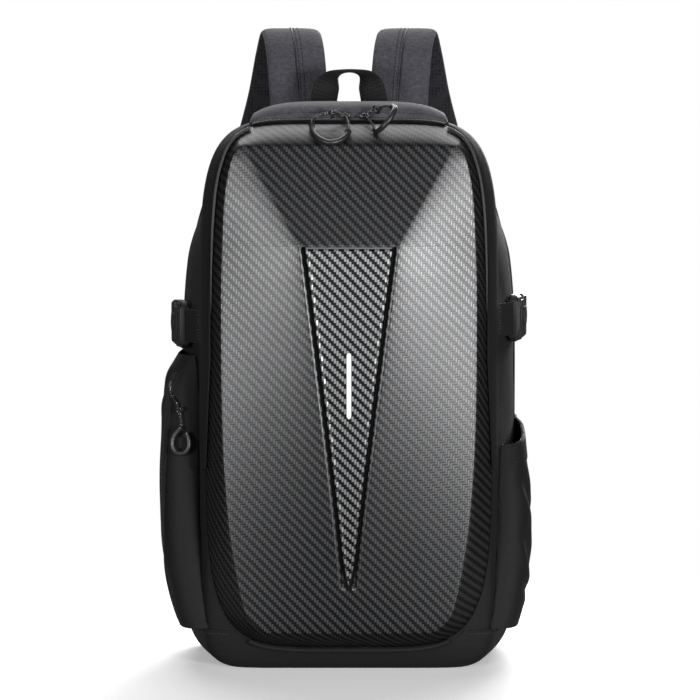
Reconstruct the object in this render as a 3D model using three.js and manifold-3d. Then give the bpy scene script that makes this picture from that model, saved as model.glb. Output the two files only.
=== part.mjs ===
import * as THREE from 'three';
import { mergeVertices } from 'three/addons/utils/BufferGeometryUtils.js';
import Module from 'manifold-3d';

// Hard shell backpack, in millimetres, +Z up. The moulded shell faces -Y, the shoulder straps hang at +Y.
// Y is 0 at the seam between the shell and the fabric gusset while the pieces are made.

const wasm = await Module();
wasm.setup();
const { Manifold, Mesh: SolidMesh } = wasm;

// Driving dimensions
const SEAM_GAP = 0.3;
const FABRIC_WALL = 2.4;
const BASE_WALL = 2.2;
const SHELL_WALL = 2.4;
const RIM_HALF_WIDTH = 121;
const RIM_TOP = 463;
const RIM_BOTTOM = 20;
const BACK_HALF_WIDTH = 145;
const BACK_TOP = 476;
const GUSSET_DEPTH = 130;
const SHELL_RISE = 46;
const PLATE_HALF_WIDTH = 36;
const PLATE_TIP_HALF_WIDTH = 2.6;
const PLATE_STEP = 0.8;
const GROOVE_WIDTH = 3.6;
const GROOVE_DEPTH = 1.3;
const BAR_WIDTH = 5;
const BAR_LENGTH = 55;
const BAR_THICKNESS = 0.8;
const BASE_RISE = 34;
const FLAP_THICKNESS = 1.4;
const FLAP_REACH = 6;
const PIPING_RADIUS = 1.2;
const BASE_PIPING_RADIUS = 2;
const BAND_HALF_WIDTH = 84;
const BAND_HEIGHT = 10;
const BAND_DEPTH = 44;
const ZIP_WIDTH = 8;
const ZIP_THICKNESS = 1.2;
const TEETH_WIDTH = 3;
const TEETH_HEIGHT = 1.4;
const SLIDER_LENGTH = 9;
const SLIDER_WIDTH = 6;
const SLIDER_HEIGHT = 3.4;
const PAD_THICKNESS = 9;
const POCKET_HEIGHT = 231;
const POCKET_BULGE = 19;
const POCKET_WALL = 1.8;
const BOTTLE_POCKET_HEIGHT = 160;
const BOTTLE_POCKET_BULGE = 12;
const HEM_HEIGHT = 12;
const HEM_THICKNESS = 1.6;
const SIDE_WEB_WIDTH = 28;
const WEB_THICKNESS = 1.8;
const BUCKLE_LENGTH = 62;
const BUCKLE_WIDTH = 40;
const BUCKLE_THICKNESS = 10;
const BUCKLE_CLEARANCE = 6.1;
const BUCKLE_STAGGER = 5.8;
const STRAP_WIDTH = 50;
const STRAP_THICKNESS = 10;
const STRAP_REACH = 74;
const STRAP_CREST = 62;
const STRAP_WEB_WIDTH = 25;
const LOCK_HEIGHT = 26;
const LOCK_THICKNESS = 6;
const LOCK_MARGIN = 9;
const LOCK_SAG = 2.6;
const TAB_THICKNESS = 3;
const HAUL_WEB_WIDTH = 25;
const HAUL_THICKNESS = 2.6;
const HAUL_HEIGHT = 30;
const HAUL_HALF_SPAN = 22;
const GRIP_RADIUS = 1.9;
const CORD_RADIUS = 1;

// Superellipse exponents: how square the corners of each outline are
const RIM_CORNERS = { top: 6, bottom: 5 };
const BACK_CORNERS = { top: 3, bottom: 10 };
const FLAT_SINK = 1.2;
const RING_SIDES = 60;

// The bag from its front seam to its back: depth is a share of the gusset, flare goes from the rim's outline
// to the back's, drop from the rim's bottom edge to the base
const BODY_STATIONS = [
  { depth: 0, flare: 0, drop: 0 },
  { depth: 0.05, flare: 0.08, drop: 0.72 },
  { depth: 0.12, flare: 0.19, drop: 1 },
  { depth: 0.3, flare: 0.48, drop: 1 },
  { depth: 0.52, flare: 0.78, drop: 1 },
  { depth: 0.74, flare: 0.96, drop: 1 },
  { depth: 0.92, flare: 1, drop: 1 },
  { depth: 1, flare: 0.93, drop: 1 },
];

// The shell from bottom to top: height is a share of its height, face the half width of its front face as a
// share of the rim's, ridge and edge the rise at the middle and at the face's edge as shares of SHELL_RISE
const SHELL_ROWS = [
  { height: 0.038, face: 0.587, ridge: 0.56, edge: 0.52 },
  { height: 0.05, face: 0.645, ridge: 0.585, edge: 0.53 },
  { height: 0.068, face: 0.7, ridge: 0.615, edge: 0.54 },
  { height: 0.097, face: 0.736, ridge: 0.66, edge: 0.55 },
  { height: 0.118, face: 0.753, ridge: 0.69, edge: 0.556 },
  { height: 0.16, face: 0.78, ridge: 0.74, edge: 0.565 },
  { height: 0.221, face: 0.815, ridge: 0.805, edge: 0.573 },
  { height: 0.298, face: 0.843, ridge: 0.87, edge: 0.58 },
  { height: 0.365, face: 0.86, ridge: 0.915, edge: 0.583 },
  { height: 0.433, face: 0.87, ridge: 0.948, edge: 0.586 },
  { height: 0.5, face: 0.874, ridge: 0.972, edge: 0.588 },
  { height: 0.57, face: 0.876, ridge: 0.988, edge: 0.588 },
  { height: 0.64, face: 0.876, ridge: 0.997, edge: 0.588 },
  { height: 0.71, face: 0.873, ridge: 0.998, edge: 0.587 },
  { height: 0.766, face: 0.867, ridge: 0.985, edge: 0.586 },
  { height: 0.772, face: 0.866, ridge: 0.982, edge: 0.586 },
  { height: 0.82, face: 0.858, ridge: 0.882, edge: 0.585 },
  { height: 0.87, face: 0.845, ridge: 0.778, edge: 0.584 },
  { height: 0.91, face: 0.82, ridge: 0.694, edge: 0.582 },
  { height: 0.94, face: 0.785, ridge: 0.632, edge: 0.58 },
  { height: 0.955, face: 0.74, ridge: 0.6, edge: 0.58 },
];
const PLATE_TIP = 0.118;
const PLATE_TOP = 0.769;
const PLATE_TAPER = 1.1;
const CREASE_END = 0.93;
const FACET_CURVE = 1.2;
const FACET_SHARES = [0.35, 0.7, 1];
const WALL_BULGE = 0.58;

// Left pocket, zipped: level is a share of its height, reach a share of its bulge
const POCKET_LEVELS = [
  { level: 0, reach: 0.02 },
  { level: 0.04, reach: 0.25 },
  { level: 0.14, reach: 0.6 },
  { level: 0.31, reach: 0.9 },
  { level: 0.5, reach: 1 },
  { level: 0.68, reach: 0.96 },
  { level: 0.83, reach: 0.84 },
  { level: 0.94, reach: 0.5 },
  { level: 1, reach: 0.04 },
];
// Right pocket, open at its mouth
const BOTTLE_LEVELS = [
  { level: 0, reach: 0.02 },
  { level: 0.06, reach: 0.3 },
  { level: 0.2, reach: 0.72 },
  { level: 0.42, reach: 1 },
  { level: 0.66, reach: 0.96 },
  { level: 0.85, reach: 0.72 },
  { level: 1.2, reach: 0.3 },
];
const POCKET_FRONT = { bottom: 0.07, top: 0.2 };
const POCKET_BACK = 0.93;
const POCKET_DEEP = 22;
const POCKET_SIDES = 20;
const POCKET_SHAPE = 2.8;

// Shoulder strap from its root on the back to its lower end: out and back are shares of the bag's half width
// and of STRAP_REACH behind the bag, up a share of the bag's height, over a share of STRAP_CREST above it
const STRAP_ROWS = [
  { out: 0.29, back: 0.0, up: 0.915, over: 0, width: 0.96, thickness: 0.6 },
  { out: 0.295, back: 0.01, up: 0.955, over: 0, width: 1, thickness: 0.85 },
  { out: 0.31, back: 0.05, up: 1, over: 0.3, width: 1, thickness: 1 },
  { out: 0.335, back: 0.25, up: 1, over: 0.82, width: 1, thickness: 1 },
  { out: 0.365, back: 0.56, up: 1, over: 1, width: 1, thickness: 1 },
  { out: 0.405, back: 0.84, up: 1, over: 0.72, width: 1, thickness: 1 },
  { out: 0.455, back: 0.98, up: 1, over: 0.16, width: 1.02, thickness: 1 },
  { out: 0.52, back: 1, up: 0.93, over: 0, width: 1.1, thickness: 1 },
  { out: 0.6, back: 0.95, up: 0.81, over: 0, width: 1.16, thickness: 1 },
  { out: 0.67, back: 0.82, up: 0.67, over: 0, width: 1.12, thickness: 1 },
  { out: 0.71, back: 0.64, up: 0.53, over: 0, width: 1, thickness: 1 },
  { out: 0.72, back: 0.47, up: 0.4, over: 0, width: 0.84, thickness: 0.9 },
];
const STRAP_STEPS = 26;

// Places as shares: the white mark up the rim, the side buckles and the carry loop along the gusset, the zip
// flaps' foot up the shell and their reach across its wall, the pocket zip's middle along the gusset and its
// ends up the pocket
const BAR_PLACE = 0.51;
const BUCKLE_PLACE = 0.53;
const HAUL_PLACE = 0.78;
const FLAP_FOOT = 0.36;
const FLAP_COVER = 0.45;
const POCKET_ZIP_PLACE = 0.215;
const POCKET_ZIP_ENDS = [0.3, 0.94];
const POCKET_ZIP_TURN = 0.8;
const POCKET_ZIP_LIFT = 1.2;

// Zip pull cords and grips, as points chosen by hand, from the middle of the shell's top edge
const PULL_CORD_LEFT = [
  [-31.3, -9.9, -0.75], [-30, -7.5, 2.5], [-24, -5, 6.5], [-15, -2.5, 9], [-8, -0.6, 8], [-3.5, -0.2, 5.6],
  [-1, -5, 2], [-0.3, -12, -2.6], [-0.52, -17.76, -6.76],
];
const PULL_GRIP_LEFT = [
  [-31.2, -10.4, -1.2], [-30, -16.5, -7], [-25, -24, -13], [-16, -28, -16.5], [-7, -25.5, -14.5],
  [-1.8, -21.5, -10.5], [-0.6, -18, -7],
];
const PULL_CORD_RIGHT = [
  [21.86, -13.99, -5.52], [19.5, -9, -1.5], [16, -3.5, 3.4], [14.4, -0.3, 5.8], [17, -0.6, 9], [24, -4, 12.4],
  [31, -9, 14], [35.83, -13, 13.05],
];
const PULL_GRIP_RIGHT = [
  [22, -14.3, -5.6], [24, -18.8, -6.7], [28.5, -24, -3.2], [33.5, -25, 2.8], [37, -22, 8.8],
  [38, -16.8, 12.4], [36, -13.3, 13],
];
// Pocket pull, from the middle of the pocket's slider: out, back, up
const POCKET_CORD = [
  [0, 0, -5.3], [-1.2, -2.6, -8], [-4.2, -5.6, -12], [-7, -7.6, -18], [-8.6, -8.6, -25], [-9, -9.2, -32.6],
];
const POCKET_GRIP = [
  [-9, -9.6, -33.9], [-5, -10.3, -37.6], [-1.9, -10.9, -43.5], [-1.8, -11.6, -50], [-5.4, -12, -55],
  [-11.6, -12, -55], [-15.4, -11.6, -50], [-15.2, -10.9, -43.5], [-12.8, -10.6, -38.6],
];

const SHELL_HEIGHT = RIM_TOP - RIM_BOTTOM;
const RIM_MIDDLE = (RIM_TOP + RIM_BOTTOM) / 2;
const BODY_BOTTOM = BASE_WALL + SEAM_GAP;
const TUBE_SIDES = 8;

const fabric = material(0x17171a, 0.92);
const liningFabric = material(0x232326, 0.95);
const greyFabric = material(0x77767f, 0.9);
const shellPlastic = material(0x1b1b1d, 0.3);
const whitePlastic = material(0xe8e8e6, 0.45);
const bucklePlastic = material(0x121214, 0.4);
const rubber = material(0x0d0d0e, 0.35);
const webbing = material(0x1c1c1f, 0.85);
const cordMaterial = material(0x26262a, 0.85);

function material(color, roughness) {
  return new THREE.MeshStandardMaterial({ color, roughness, metalness: 0 });
}

const backpack = new THREE.Group();
const pieces = new THREE.Group();
const pulls = new THREE.Group();
backpack.add(pieces, pulls);

function addPart(name, geometry, look, group = pieces) {
  const mesh = new THREE.Mesh(geometry, look);
  mesh.name = name;
  group.add(mesh);
  return mesh;
}

const mix = (a, b, share) => a + (b - a) * share;

// Value of a named column of a table at a place along one of its columns
function along(table, key, column, place) {
  const last = table.length - 1;
  const next = Math.min(Math.max(table.findIndex((row) => row[key] >= place), 1), last);
  const high = place > table[last][key] ? last : next;
  const low = high - 1;
  const share = (place - table[low][key]) / (table[high][key] - table[low][key]);
  return mix(table[low][column], table[high][column], Math.min(Math.max(share, 0), 1));
}

function geometryOf(points, triangles) {
  const geometry = new THREE.BufferGeometry();
  geometry.setAttribute('position', new THREE.Float32BufferAttribute(points.flat(), 3));
  const outward = volumeOf(points, triangles) < 0 ? triangles.map(([a, b, c]) => [a, c, b]) : triangles;
  geometry.setIndex(outward.flat());
  return geometry;
}

function volumeOf(points, triangles) {
  const [a, b, c] = [new THREE.Vector3(), new THREE.Vector3(), new THREE.Vector3()];
  return triangles.reduce((sum, [i, j, k]) => {
    a.fromArray(points[i]);
    b.fromArray(points[j]);
    c.fromArray(points[k]);
    return sum + a.dot(b.cross(c)) / 6;
  }, 0);
}

// Closed solid through rings of equal length, with flat ends
function loft(rings) {
  const count = rings[0].length;
  const points = rings.flat();
  const triangles = [];
  for (let r = 0; r < rings.length - 1; r += 1) {
    for (let i = 0; i < count; i += 1) {
      const a = r * count + i;
      const b = r * count + ((i + 1) % count);
      triangles.push([a, b, b + count], [a, b + count, a + count]);
    }
  }
  const middle = (ring) => [0, 1, 2].map((k) => ring.reduce((sum, p) => sum + p[k], 0) / count);
  const start = points.push(middle(rings[0])) - 1;
  const end = points.push(middle(rings[rings.length - 1])) - 1;
  const lastRing = (rings.length - 1) * count;
  for (let i = 0; i < count; i += 1) {
    const j = (i + 1) % count;
    triangles.push([start, j, i], [end, lastRing + i, lastRing + j]);
  }
  return geometryOf(points, triangles);
}

function solidOf(geometry) {
  const bare = geometry.clone();
  bare.deleteAttribute('normal');
  bare.deleteAttribute('uv');
  const merged = mergeVertices(bare, 1e-4);
  return new Manifold(new SolidMesh({
    numProp: 3,
    vertProperties: new Float32Array(merged.attributes.position.array),
    triVerts: new Uint32Array(merged.index.array),
  }));
}

function geometryFrom(solid) {
  const mesh = solid.getMesh();
  const geometry = new THREE.BufferGeometry();
  geometry.setAttribute('position', new THREE.BufferAttribute(mesh.vertProperties, 3));
  geometry.setIndex(new THREE.BufferAttribute(mesh.triVerts, 1));
  return geometry;
}

function boxBetween([x0, y0, z0], [x1, y1, z1]) {
  const box = new THREE.BoxGeometry(Math.abs(x1 - x0), Math.abs(y1 - y0), Math.abs(z1 - z0));
  return box.translate((x0 + x1) / 2, (y0 + y1) / 2, (z0 + z1) / 2);
}

function roundSection(radius) {
  const shape = new THREE.Shape();
  for (let i = 0; i < TUBE_SIDES; i += 1) {
    const turn = (i / TUBE_SIDES) * 2 * Math.PI;
    shape[i ? 'lineTo' : 'moveTo'](radius * Math.cos(turn), radius * Math.sin(turn));
  }
  return shape;
}

function tube(points, radius, steps) {
  const places = points.map((point) => new THREE.Vector3(...point));
  const extrudePath = new THREE.CatmullRomCurve3(places, false, 'centripetal');
  return new THREE.ExtrudeGeometry(roundSection(radius), { steps, extrudePath, bevelEnabled: false });
}

// Flat band with rounded edges along a curve: each row has a place, a width, a thickness and the direction
// of its width
function ribbon(rows, steps) {
  const places = rows.map((row) => new THREE.Vector3(...row.place));
  const path = new THREE.CatmullRomCurve3(places, false, 'centripetal');
  const rings = [];
  for (let i = 0; i <= steps; i += 1) {
    const t = i / steps;
    const exact = t * (rows.length - 1);
    const low = Math.min(Math.floor(exact), rows.length - 2);
    const share = exact - low;
    const [a, b] = [rows[low], rows[low + 1]];
    const forward = path.getTangent(t);
    const across = new THREE.Vector3(...a.across).lerp(new THREE.Vector3(...b.across), share);
    across.addScaledVector(forward, -across.dot(forward)).normalize();
    const normal = new THREE.Vector3().crossVectors(forward, across);
    const half = mix(a.width, b.width, share) / 2;
    const deep = mix(a.thickness, b.thickness, share) / 2;
    const edge = Math.min(deep, half) * 0.6;
    const section = [
      [half, deep - edge], [half - edge, deep], [edge - half, deep], [-half, deep - edge],
      [-half, edge - deep], [edge - half, -deep], [half - edge, -deep], [half, edge - deep],
    ];
    const place = path.getPoint(t);
    rings.push(section.map(([u, v]) => {
      return place.clone().addScaledVector(across, u).addScaledVector(normal, v).toArray();
    }));
  }
  return loft(rings);
}

// Outline of the bag at a depth behind the front seam, grown outwards
function outlineAt(y, grow = 0) {
  const depth = y / GUSSET_DEPTH;
  const flare = along(BODY_STATIONS, 'depth', 'flare', depth);
  const drop = along(BODY_STATIONS, 'depth', 'drop', depth);
  return {
    halfWidth: mix(RIM_HALF_WIDTH, BACK_HALF_WIDTH, flare) + grow,
    top: mix(RIM_TOP, BACK_TOP, flare) + grow,
    bottom: mix(RIM_BOTTOM, BODY_BOTTOM - FLAT_SINK, drop) - grow,
    floor: BODY_BOTTOM - grow,
    topCorner: mix(RIM_CORNERS.top, BACK_CORNERS.top, flare),
    bottomCorner: mix(RIM_CORNERS.bottom, BACK_CORNERS.bottom, drop),
  };
}

// Point of an outline in the direction of a place, given from the outline's middle
function outlinePoint(outline, x, z) {
  const halfHeight = (outline.top - outline.bottom) / 2;
  const corner = z > 0 ? outline.topCorner : outline.bottomCorner;
  const [u, v] = [Math.abs(x) / outline.halfWidth, Math.abs(z) / halfHeight];
  const radius = 1 / (u ** corner + v ** corner) ** (1 / corner);
  const height = (outline.top + outline.bottom) / 2 + z * radius;
  return [x * radius, Math.max(height, outline.floor)];
}

// Outward direction of an outline at a point on it
function outlineNormal(outline, x, z) {
  const halfHeight = (outline.top - outline.bottom) / 2;
  const up = z - (outline.top + outline.bottom) / 2;
  const corner = up > 0 ? outline.topCorner : outline.bottomCorner;
  const across = (Math.sign(x) * (Math.abs(x) / outline.halfWidth) ** (corner - 1)) / outline.halfWidth;
  const rise = (Math.sign(up) * (Math.abs(up) / halfHeight) ** (corner - 1)) / halfHeight;
  const length = Math.hypot(across, rise);
  return [across / length, rise / length];
}

// Directions round an outline, closer together towards its corners
function ringDirections() {
  const onSide = RING_SIDES / 4;
  const directions = [];
  for (const [right, up] of [[0, 1], [1, 0], [0, -1], [-1, 0]]) {
    for (let i = 0; i < onSide; i += 1) {
      const slide = Math.sin((((i + 0.5) / onSide) * 2 - 1) * (Math.PI / 2));
      directions.push([right + slide * up, up - slide * right]);
    }
  }
  return directions;
}

function bodyRing(y, grow, ringY = y) {
  const outline = outlineAt(y, grow);
  const ring = [];
  const halfHeight = (outline.top - outline.bottom) / 2;
  for (const [across, up] of ringDirections()) {
    const [x, z] = outlinePoint(outline, outline.halfWidth * across, halfHeight * up);
    ring.push([x, ringY, z]);
  }
  return ring;
}

// The bag's form grown outwards on every side but its open front
function bodySolid(grow, frontExtra = 0) {
  const stretch = (GUSSET_DEPTH + grow) / GUSSET_DEPTH;
  const rings = BODY_STATIONS.map(({ depth }) => {
    return bodyRing(depth * GUSSET_DEPTH, grow, depth * GUSSET_DEPTH * stretch);
  });
  if (frontExtra) rings.unshift(bodyRing(0, grow, -frontExtra));
  return solidOf(loft(rings));
}

function sideX(y, z) {
  const outline = outlineAt(y);
  const halfHeight = (outline.top - outline.bottom) / 2;
  const up = z - (outline.top + outline.bottom) / 2;
  const corner = up > 0 ? outline.topCorner : outline.bottomCorner;
  return outline.halfWidth * Math.max(1 - (Math.abs(up) / halfHeight) ** corner, 0) ** (1 / corner);
}

function topZ(x, y) {
  const outline = outlineAt(y);
  const halfHeight = (outline.top - outline.bottom) / 2;
  const share = Math.max(1 - (Math.abs(x) / outline.halfWidth) ** outline.topCorner, 0);
  return (outline.top + outline.bottom) / 2 + halfHeight * share ** (1 / outline.topCorner);
}

function makeBody() {
  const tub = bodySolid(0).subtract(bodySolid(-FABRIC_WALL, FABRIC_WALL));
  addPart('bag_body', geometryFrom(tub), fabric);
}

function makeBase() {
  const wrap = bodySolid(SEAM_GAP + BASE_WALL).subtract(bodySolid(SEAM_GAP, BASE_WALL));
  const wide = BACK_HALF_WIDTH * 2;
  const low = solidOf(boxBetween([-wide, BASE_WALL, -BASE_WALL], [wide, GUSSET_DEPTH * 2, BASE_RISE]));
  addPart('base_panel', geometryFrom(wrap.intersect(low)), fabric);
}

// Half width of the shell's raised plate, then of the facet above it
function plateHalf(height, faceHalf) {
  if (height > PLATE_TOP) {
    const top = SHELL_ROWS[SHELL_ROWS.length - 1];
    const end = top.face * RIM_HALF_WIDTH * CREASE_END;
    const half = mix(PLATE_HALF_WIDTH, end, (height - PLATE_TOP) / (top.height - PLATE_TOP));
    return Math.min(half, faceHalf * CREASE_END);
  }
  const share = Math.max((height - PLATE_TIP) / (PLATE_TOP - PLATE_TIP), 0);
  return mix(PLATE_TIP_HALF_WIDTH, PLATE_HALF_WIDTH, share ** PLATE_TAPER);
}

// One row of the shell's front face, from its middle to its edge: place across and rise
function faceRow(row) {
  const half = row.face * RIM_HALF_WIDTH;
  const plate = plateHalf(row.height, half);
  const ridge = row.ridge * SHELL_RISE;
  const edge = row.edge * SHELL_RISE;
  const onPlate = row.height > PLATE_TIP && row.height < PLATE_TOP;
  const step = onPlate ? PLATE_STEP : 0;
  const groove = onPlate ? GROOVE_DEPTH : 0;
  const outer = Math.min(plate + GROOVE_WIDTH, mix(plate, half, 0.2));
  const facet = FACET_SHARES.map((share) => ({
    x: mix(outer, half, share),
    rise: mix(ridge, edge, share ** FACET_CURVE),
  }));
  return [
    { x: 0, rise: ridge + step },
    { x: plate / 2, rise: ridge + step },
    { x: plate, rise: ridge + step },
    { x: (plate + outer) / 2, rise: ridge - groove },
    { x: outer, rise: ridge },
    ...facet,
  ];
}

const heightOf = (row) => RIM_BOTTOM + row.height * SHELL_HEIGHT;

// The shell's face as a grid of rows from left to right
function faceGrid() {
  return SHELL_ROWS.map((row) => {
    const z = heightOf(row);
    const right = faceRow(row);
    const left = right.slice(1).reverse().map(({ x, rise }) => ({ x: -x, rise }));
    return [...left, ...right].map(({ x, rise }) => ({ x, z, rise }));
  });
}

// The face's edge as one loop: bottom row, right column, top row, left column
function faceLoop(grid) {
  const rows = grid.length;
  const columns = grid[0].length;
  const loop = [];
  for (let c = 0; c < columns; c += 1) loop.push([0, c]);
  for (let r = 1; r < rows; r += 1) loop.push([r, columns - 1]);
  for (let c = columns - 2; c >= 0; c -= 1) loop.push([rows - 1, c]);
  for (let r = rows - 2; r > 0; r -= 1) loop.push([r, 0]);
  return loop;
}

// Place on the shell's side wall: share 0 at the rim, 1 at the face's edge, moved outwards by a distance
function wallPoint(spot, share, out = 0) {
  const rim = outlineAt(0);
  const [rimX, rimZ] = outlinePoint(rim, spot.x, spot.z - RIM_MIDDLE);
  const [x, z] = [mix(rimX, spot.x, share), mix(rimZ, spot.z, share)];
  const rise = share < 0.5 ? share * 2 * WALL_BULGE : mix(WALL_BULGE, 1, share * 2 - 1);
  const [normalX, normalZ] = outlineNormal(rim, rimX, rimZ);
  return [x + normalX * out, -SEAM_GAP - rise * spot.rise, z + normalZ * out];
}

function makeShell() {
  const grid = faceGrid();
  const loop = faceLoop(grid);
  const columns = grid[0].length;
  const points = [];
  const layers = [];
  for (const inside of [false, true]) {
    const thin = inside ? SHELL_WALL : 0;
    const addPoint = ({ x, z, rise }) => points.push([x, -SEAM_GAP - rise + thin, z]) - 1;
    const face = grid.map((row) => row.map(addPoint));
    loop.forEach(([r, c]) => {
      points[face[r][c]] = wallPoint(grid[r][c], 1, -0.6 * thin);
      points[face[r][c]][1] += 0.95 * thin;
    });
    const middle = loop.map(([r, c]) => {
      const point = wallPoint(grid[r][c], 0.5, -1.1 * thin);
      point[1] += 0.4 * thin;
      return points.push(point) - 1;
    });
    const rim = loop.map(([r, c]) => points.push(wallPoint(grid[r][c], 0, -1.25 * thin)) - 1);
    layers.push({ face, rings: [loop.map(([r, c]) => face[r][c]), middle, rim] });
  }
  const triangles = [];
  layers.forEach(({ face, rings }, layer) => {
    const add = (a, b, c, d) => {
      triangles.push(...(layer ? [[a, c, b], [a, d, c]] : [[a, b, c], [a, c, d]]));
    };
    for (let r = 0; r < face.length - 1; r += 1) {
      for (let c = 0; c < columns - 1; c += 1) {
        add(face[r][c], face[r][c + 1], face[r + 1][c + 1], face[r + 1][c]);
      }
    }
    for (let k = 0; k < rings.length - 1; k += 1) {
      rings[k].forEach((a, i) => {
        const j = (i + 1) % loop.length;
        add(rings[k][j], a, rings[k + 1][i], rings[k + 1][j]);
      });
    }
  });
  const [outerRim, innerRim] = layers.map(({ rings }) => rings[2]);
  outerRim.forEach((a, i) => {
    const j = (i + 1) % loop.length;
    triangles.push([outerRim[j], a, innerRim[i]], [outerRim[j], innerRim[i], innerRim[j]]);
  });
  addPart('shell', geometryOf(points, triangles), shellPlastic);
}

function makeBar() {
  const middle = mix(RIM_BOTTOM, RIM_TOP, BAR_PLACE);
  const rings = [-0.5, 0, 0.5].map((share) => {
    const z = middle + share * BAR_LENGTH;
    const height = (z - RIM_BOTTOM) / SHELL_HEIGHT;
    const rise = along(SHELL_ROWS, 'height', 'ridge', height) * SHELL_RISE + PLATE_STEP;
    const back = -SEAM_GAP - rise - SEAM_GAP;
    const front = back - BAR_THICKNESS;
    const half = BAR_WIDTH / 2;
    return [[-half, back, z], [half, back, z], [half, front, z], [-half, front, z]];
  });
  addPart('shell_bar', loft(rings), whitePlastic);
}

// The part of the face's edge that the zip flaps cover, from low on one side round the upper corner
function flapSpots(side) {
  const grid = faceGrid();
  const last = grid.length - 1;
  const spots = grid.filter((row, r) => SHELL_ROWS[r].height >= FLAP_FOOT).map((row) => row[row.length - 1]);
  const top = grid[last].slice().reverse().slice(1);
  spots.push(...top.filter(({ x }) => x > BAND_HALF_WIDTH * 0.9));
  return spots.map(({ x, z, rise }) => ({ x: side * x, z, rise }));
}

function flapCover(index) {
  return Math.min(0.14 + 0.11 * index, FLAP_COVER);
}

function makeFlap(side, label) {
  const rings = flapSpots(side).map((spot, index) => {
    const body = outlineAt(FLAP_REACH);
    const onBody = (out) => {
      const grown = outlineAt(FLAP_REACH, out);
      const [x, z] = outlinePoint(grown, spot.x, spot.z - (body.top + body.bottom) / 2);
      return [x, FLAP_REACH, z];
    };
    const [near, far] = [SEAM_GAP * 1.7, SEAM_GAP * 1.7 + FLAP_THICKNESS];
    const cover = flapCover(index);
    return [
      onBody(near), wallPoint(spot, 0, near), wallPoint(spot, cover, near),
      wallPoint(spot, cover, far), wallPoint(spot, 0, far), onBody(far),
    ];
  });
  addPart(`zip_flap_${label}`, loft(rings), fabric);
}

function makePiping(side, label) {
  const spots = flapSpots(side).slice(4);
  const out = PIPING_RADIUS * 1.75 + SEAM_GAP;
  const points = spots.map((spot) => wallPoint(spot, FLAP_COVER + 2.6 * PIPING_RADIUS / 30, out));
  addPart(`piping_${label}`, tube(points, PIPING_RADIUS, points.length), greyFabric);
}

function makeBasePiping() {
  const outline = outlineAt(0);
  const middle = (outline.top + outline.bottom) / 2;
  const points = [];
  for (let share = -1; share <= 1; share += 0.2) {
    const x = share * RIM_HALF_WIDTH * 0.7;
    const up = ((outline.top - outline.bottom) / 2) * (1 - (Math.abs(x) / outline.halfWidth) ** 5) ** 0.2;
    points.push([x, -BASE_PIPING_RADIUS - SEAM_GAP, middle - up - BASE_PIPING_RADIUS - SEAM_GAP]);
  }
  addPart('piping_base', tube(points, BASE_PIPING_RADIUS, 12), greyFabric);
}

// Strip lying on the top of the bag between two depths, as tall as given
function topStrip(halfWidth, front, back, lift, tall, count = 12) {
  const rings = [];
  for (let i = 0; i <= count; i += 1) {
    const x = mix(-halfWidth, halfWidth, i / count);
    const [near, far] = [topZ(x, front) + lift, topZ(x, back) + lift];
    rings.push([[x, front, near], [x, back, far], [x, back, far + tall], [x, front, near + tall]]);
  }
  return loft(rings);
}

function makeTop() {
  const zipFront = SEAM_GAP;
  const zipBack = zipFront + ZIP_WIDTH;
  const zipLift = SEAM_GAP * 1.5;
  const zipHalf = BAND_HALF_WIDTH * 0.96;
  addPart('zip_tape', topStrip(zipHalf, zipFront, zipBack, zipLift, ZIP_THICKNESS), liningFabric);
  const teethFront = (zipFront + zipBack - TEETH_WIDTH) / 2;
  const teethLift = zipLift + ZIP_THICKNESS + SEAM_GAP;
  const teeth = topStrip(zipHalf * 0.98, teethFront, teethFront + TEETH_WIDTH, teethLift, TEETH_HEIGHT);
  addPart('zip_teeth', teeth, bucklePlastic);
  const bandFront = zipBack + SEAM_GAP * 2;
  const bandBack = bandFront + BAND_DEPTH;
  const rings = [];
  const count = 14;
  for (let i = 0; i <= count; i += 1) {
    const share = (i / count) * 2 - 1;
    const x = share * BAND_HALF_WIDTH;
    const swell = BAND_HEIGHT * (1 - 0.45 * Math.abs(share) ** 5);
    const levels = [
      { depth: 0, rise: 0 }, { depth: 0, rise: 0.7 }, { depth: 0.06, rise: 0.95 }, { depth: 0.2, rise: 1 },
      { depth: 0.8, rise: 0.9 }, { depth: 1, rise: 0.6 }, { depth: 1, rise: 0 }, { depth: 0.5, rise: 0 },
    ];
    rings.push(levels.map(({ depth, rise }) => {
      const y = mix(bandFront, bandBack, depth);
      return [x, y, topZ(x, y) + SEAM_GAP * 2.5 + rise * swell];
    }));
  }
  addPart('top_band', loft(rings), greyFabric);
  for (const [label, x] of [['left', -3], ['right', 13]]) {
    const z = topZ(x, (zipFront + zipBack) / 2) + teethLift + TEETH_HEIGHT + SEAM_GAP;
    const [y0, y1] = [(zipFront + zipBack - SLIDER_WIDTH) / 2, (zipFront + zipBack + SLIDER_WIDTH) / 2];
    const slider = boxBetween([x - SLIDER_LENGTH / 2, y0, z], [x + SLIDER_LENGTH / 2, y1, z + SLIDER_HEIGHT]);
    addPart(`slider_${label}`, slider, bucklePlastic);
  }
}

function makePulls() {
  const origin = (points) => points.map(([x, y, z]) => [x, y, RIM_TOP + z]);
  addPart('pull_cord_left', tube(origin(PULL_CORD_LEFT), CORD_RADIUS, 14), cordMaterial, pulls);
  addPart('pull_grip_left', tube(origin(PULL_GRIP_LEFT), GRIP_RADIUS, 14), rubber, pulls);
  addPart('pull_cord_right', tube(origin(PULL_CORD_RIGHT), CORD_RADIUS, 14), cordMaterial, pulls);
  addPart('pull_grip_right', tube(origin(PULL_GRIP_RIGHT), GRIP_RADIUS, 14), rubber, pulls);
}

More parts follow.
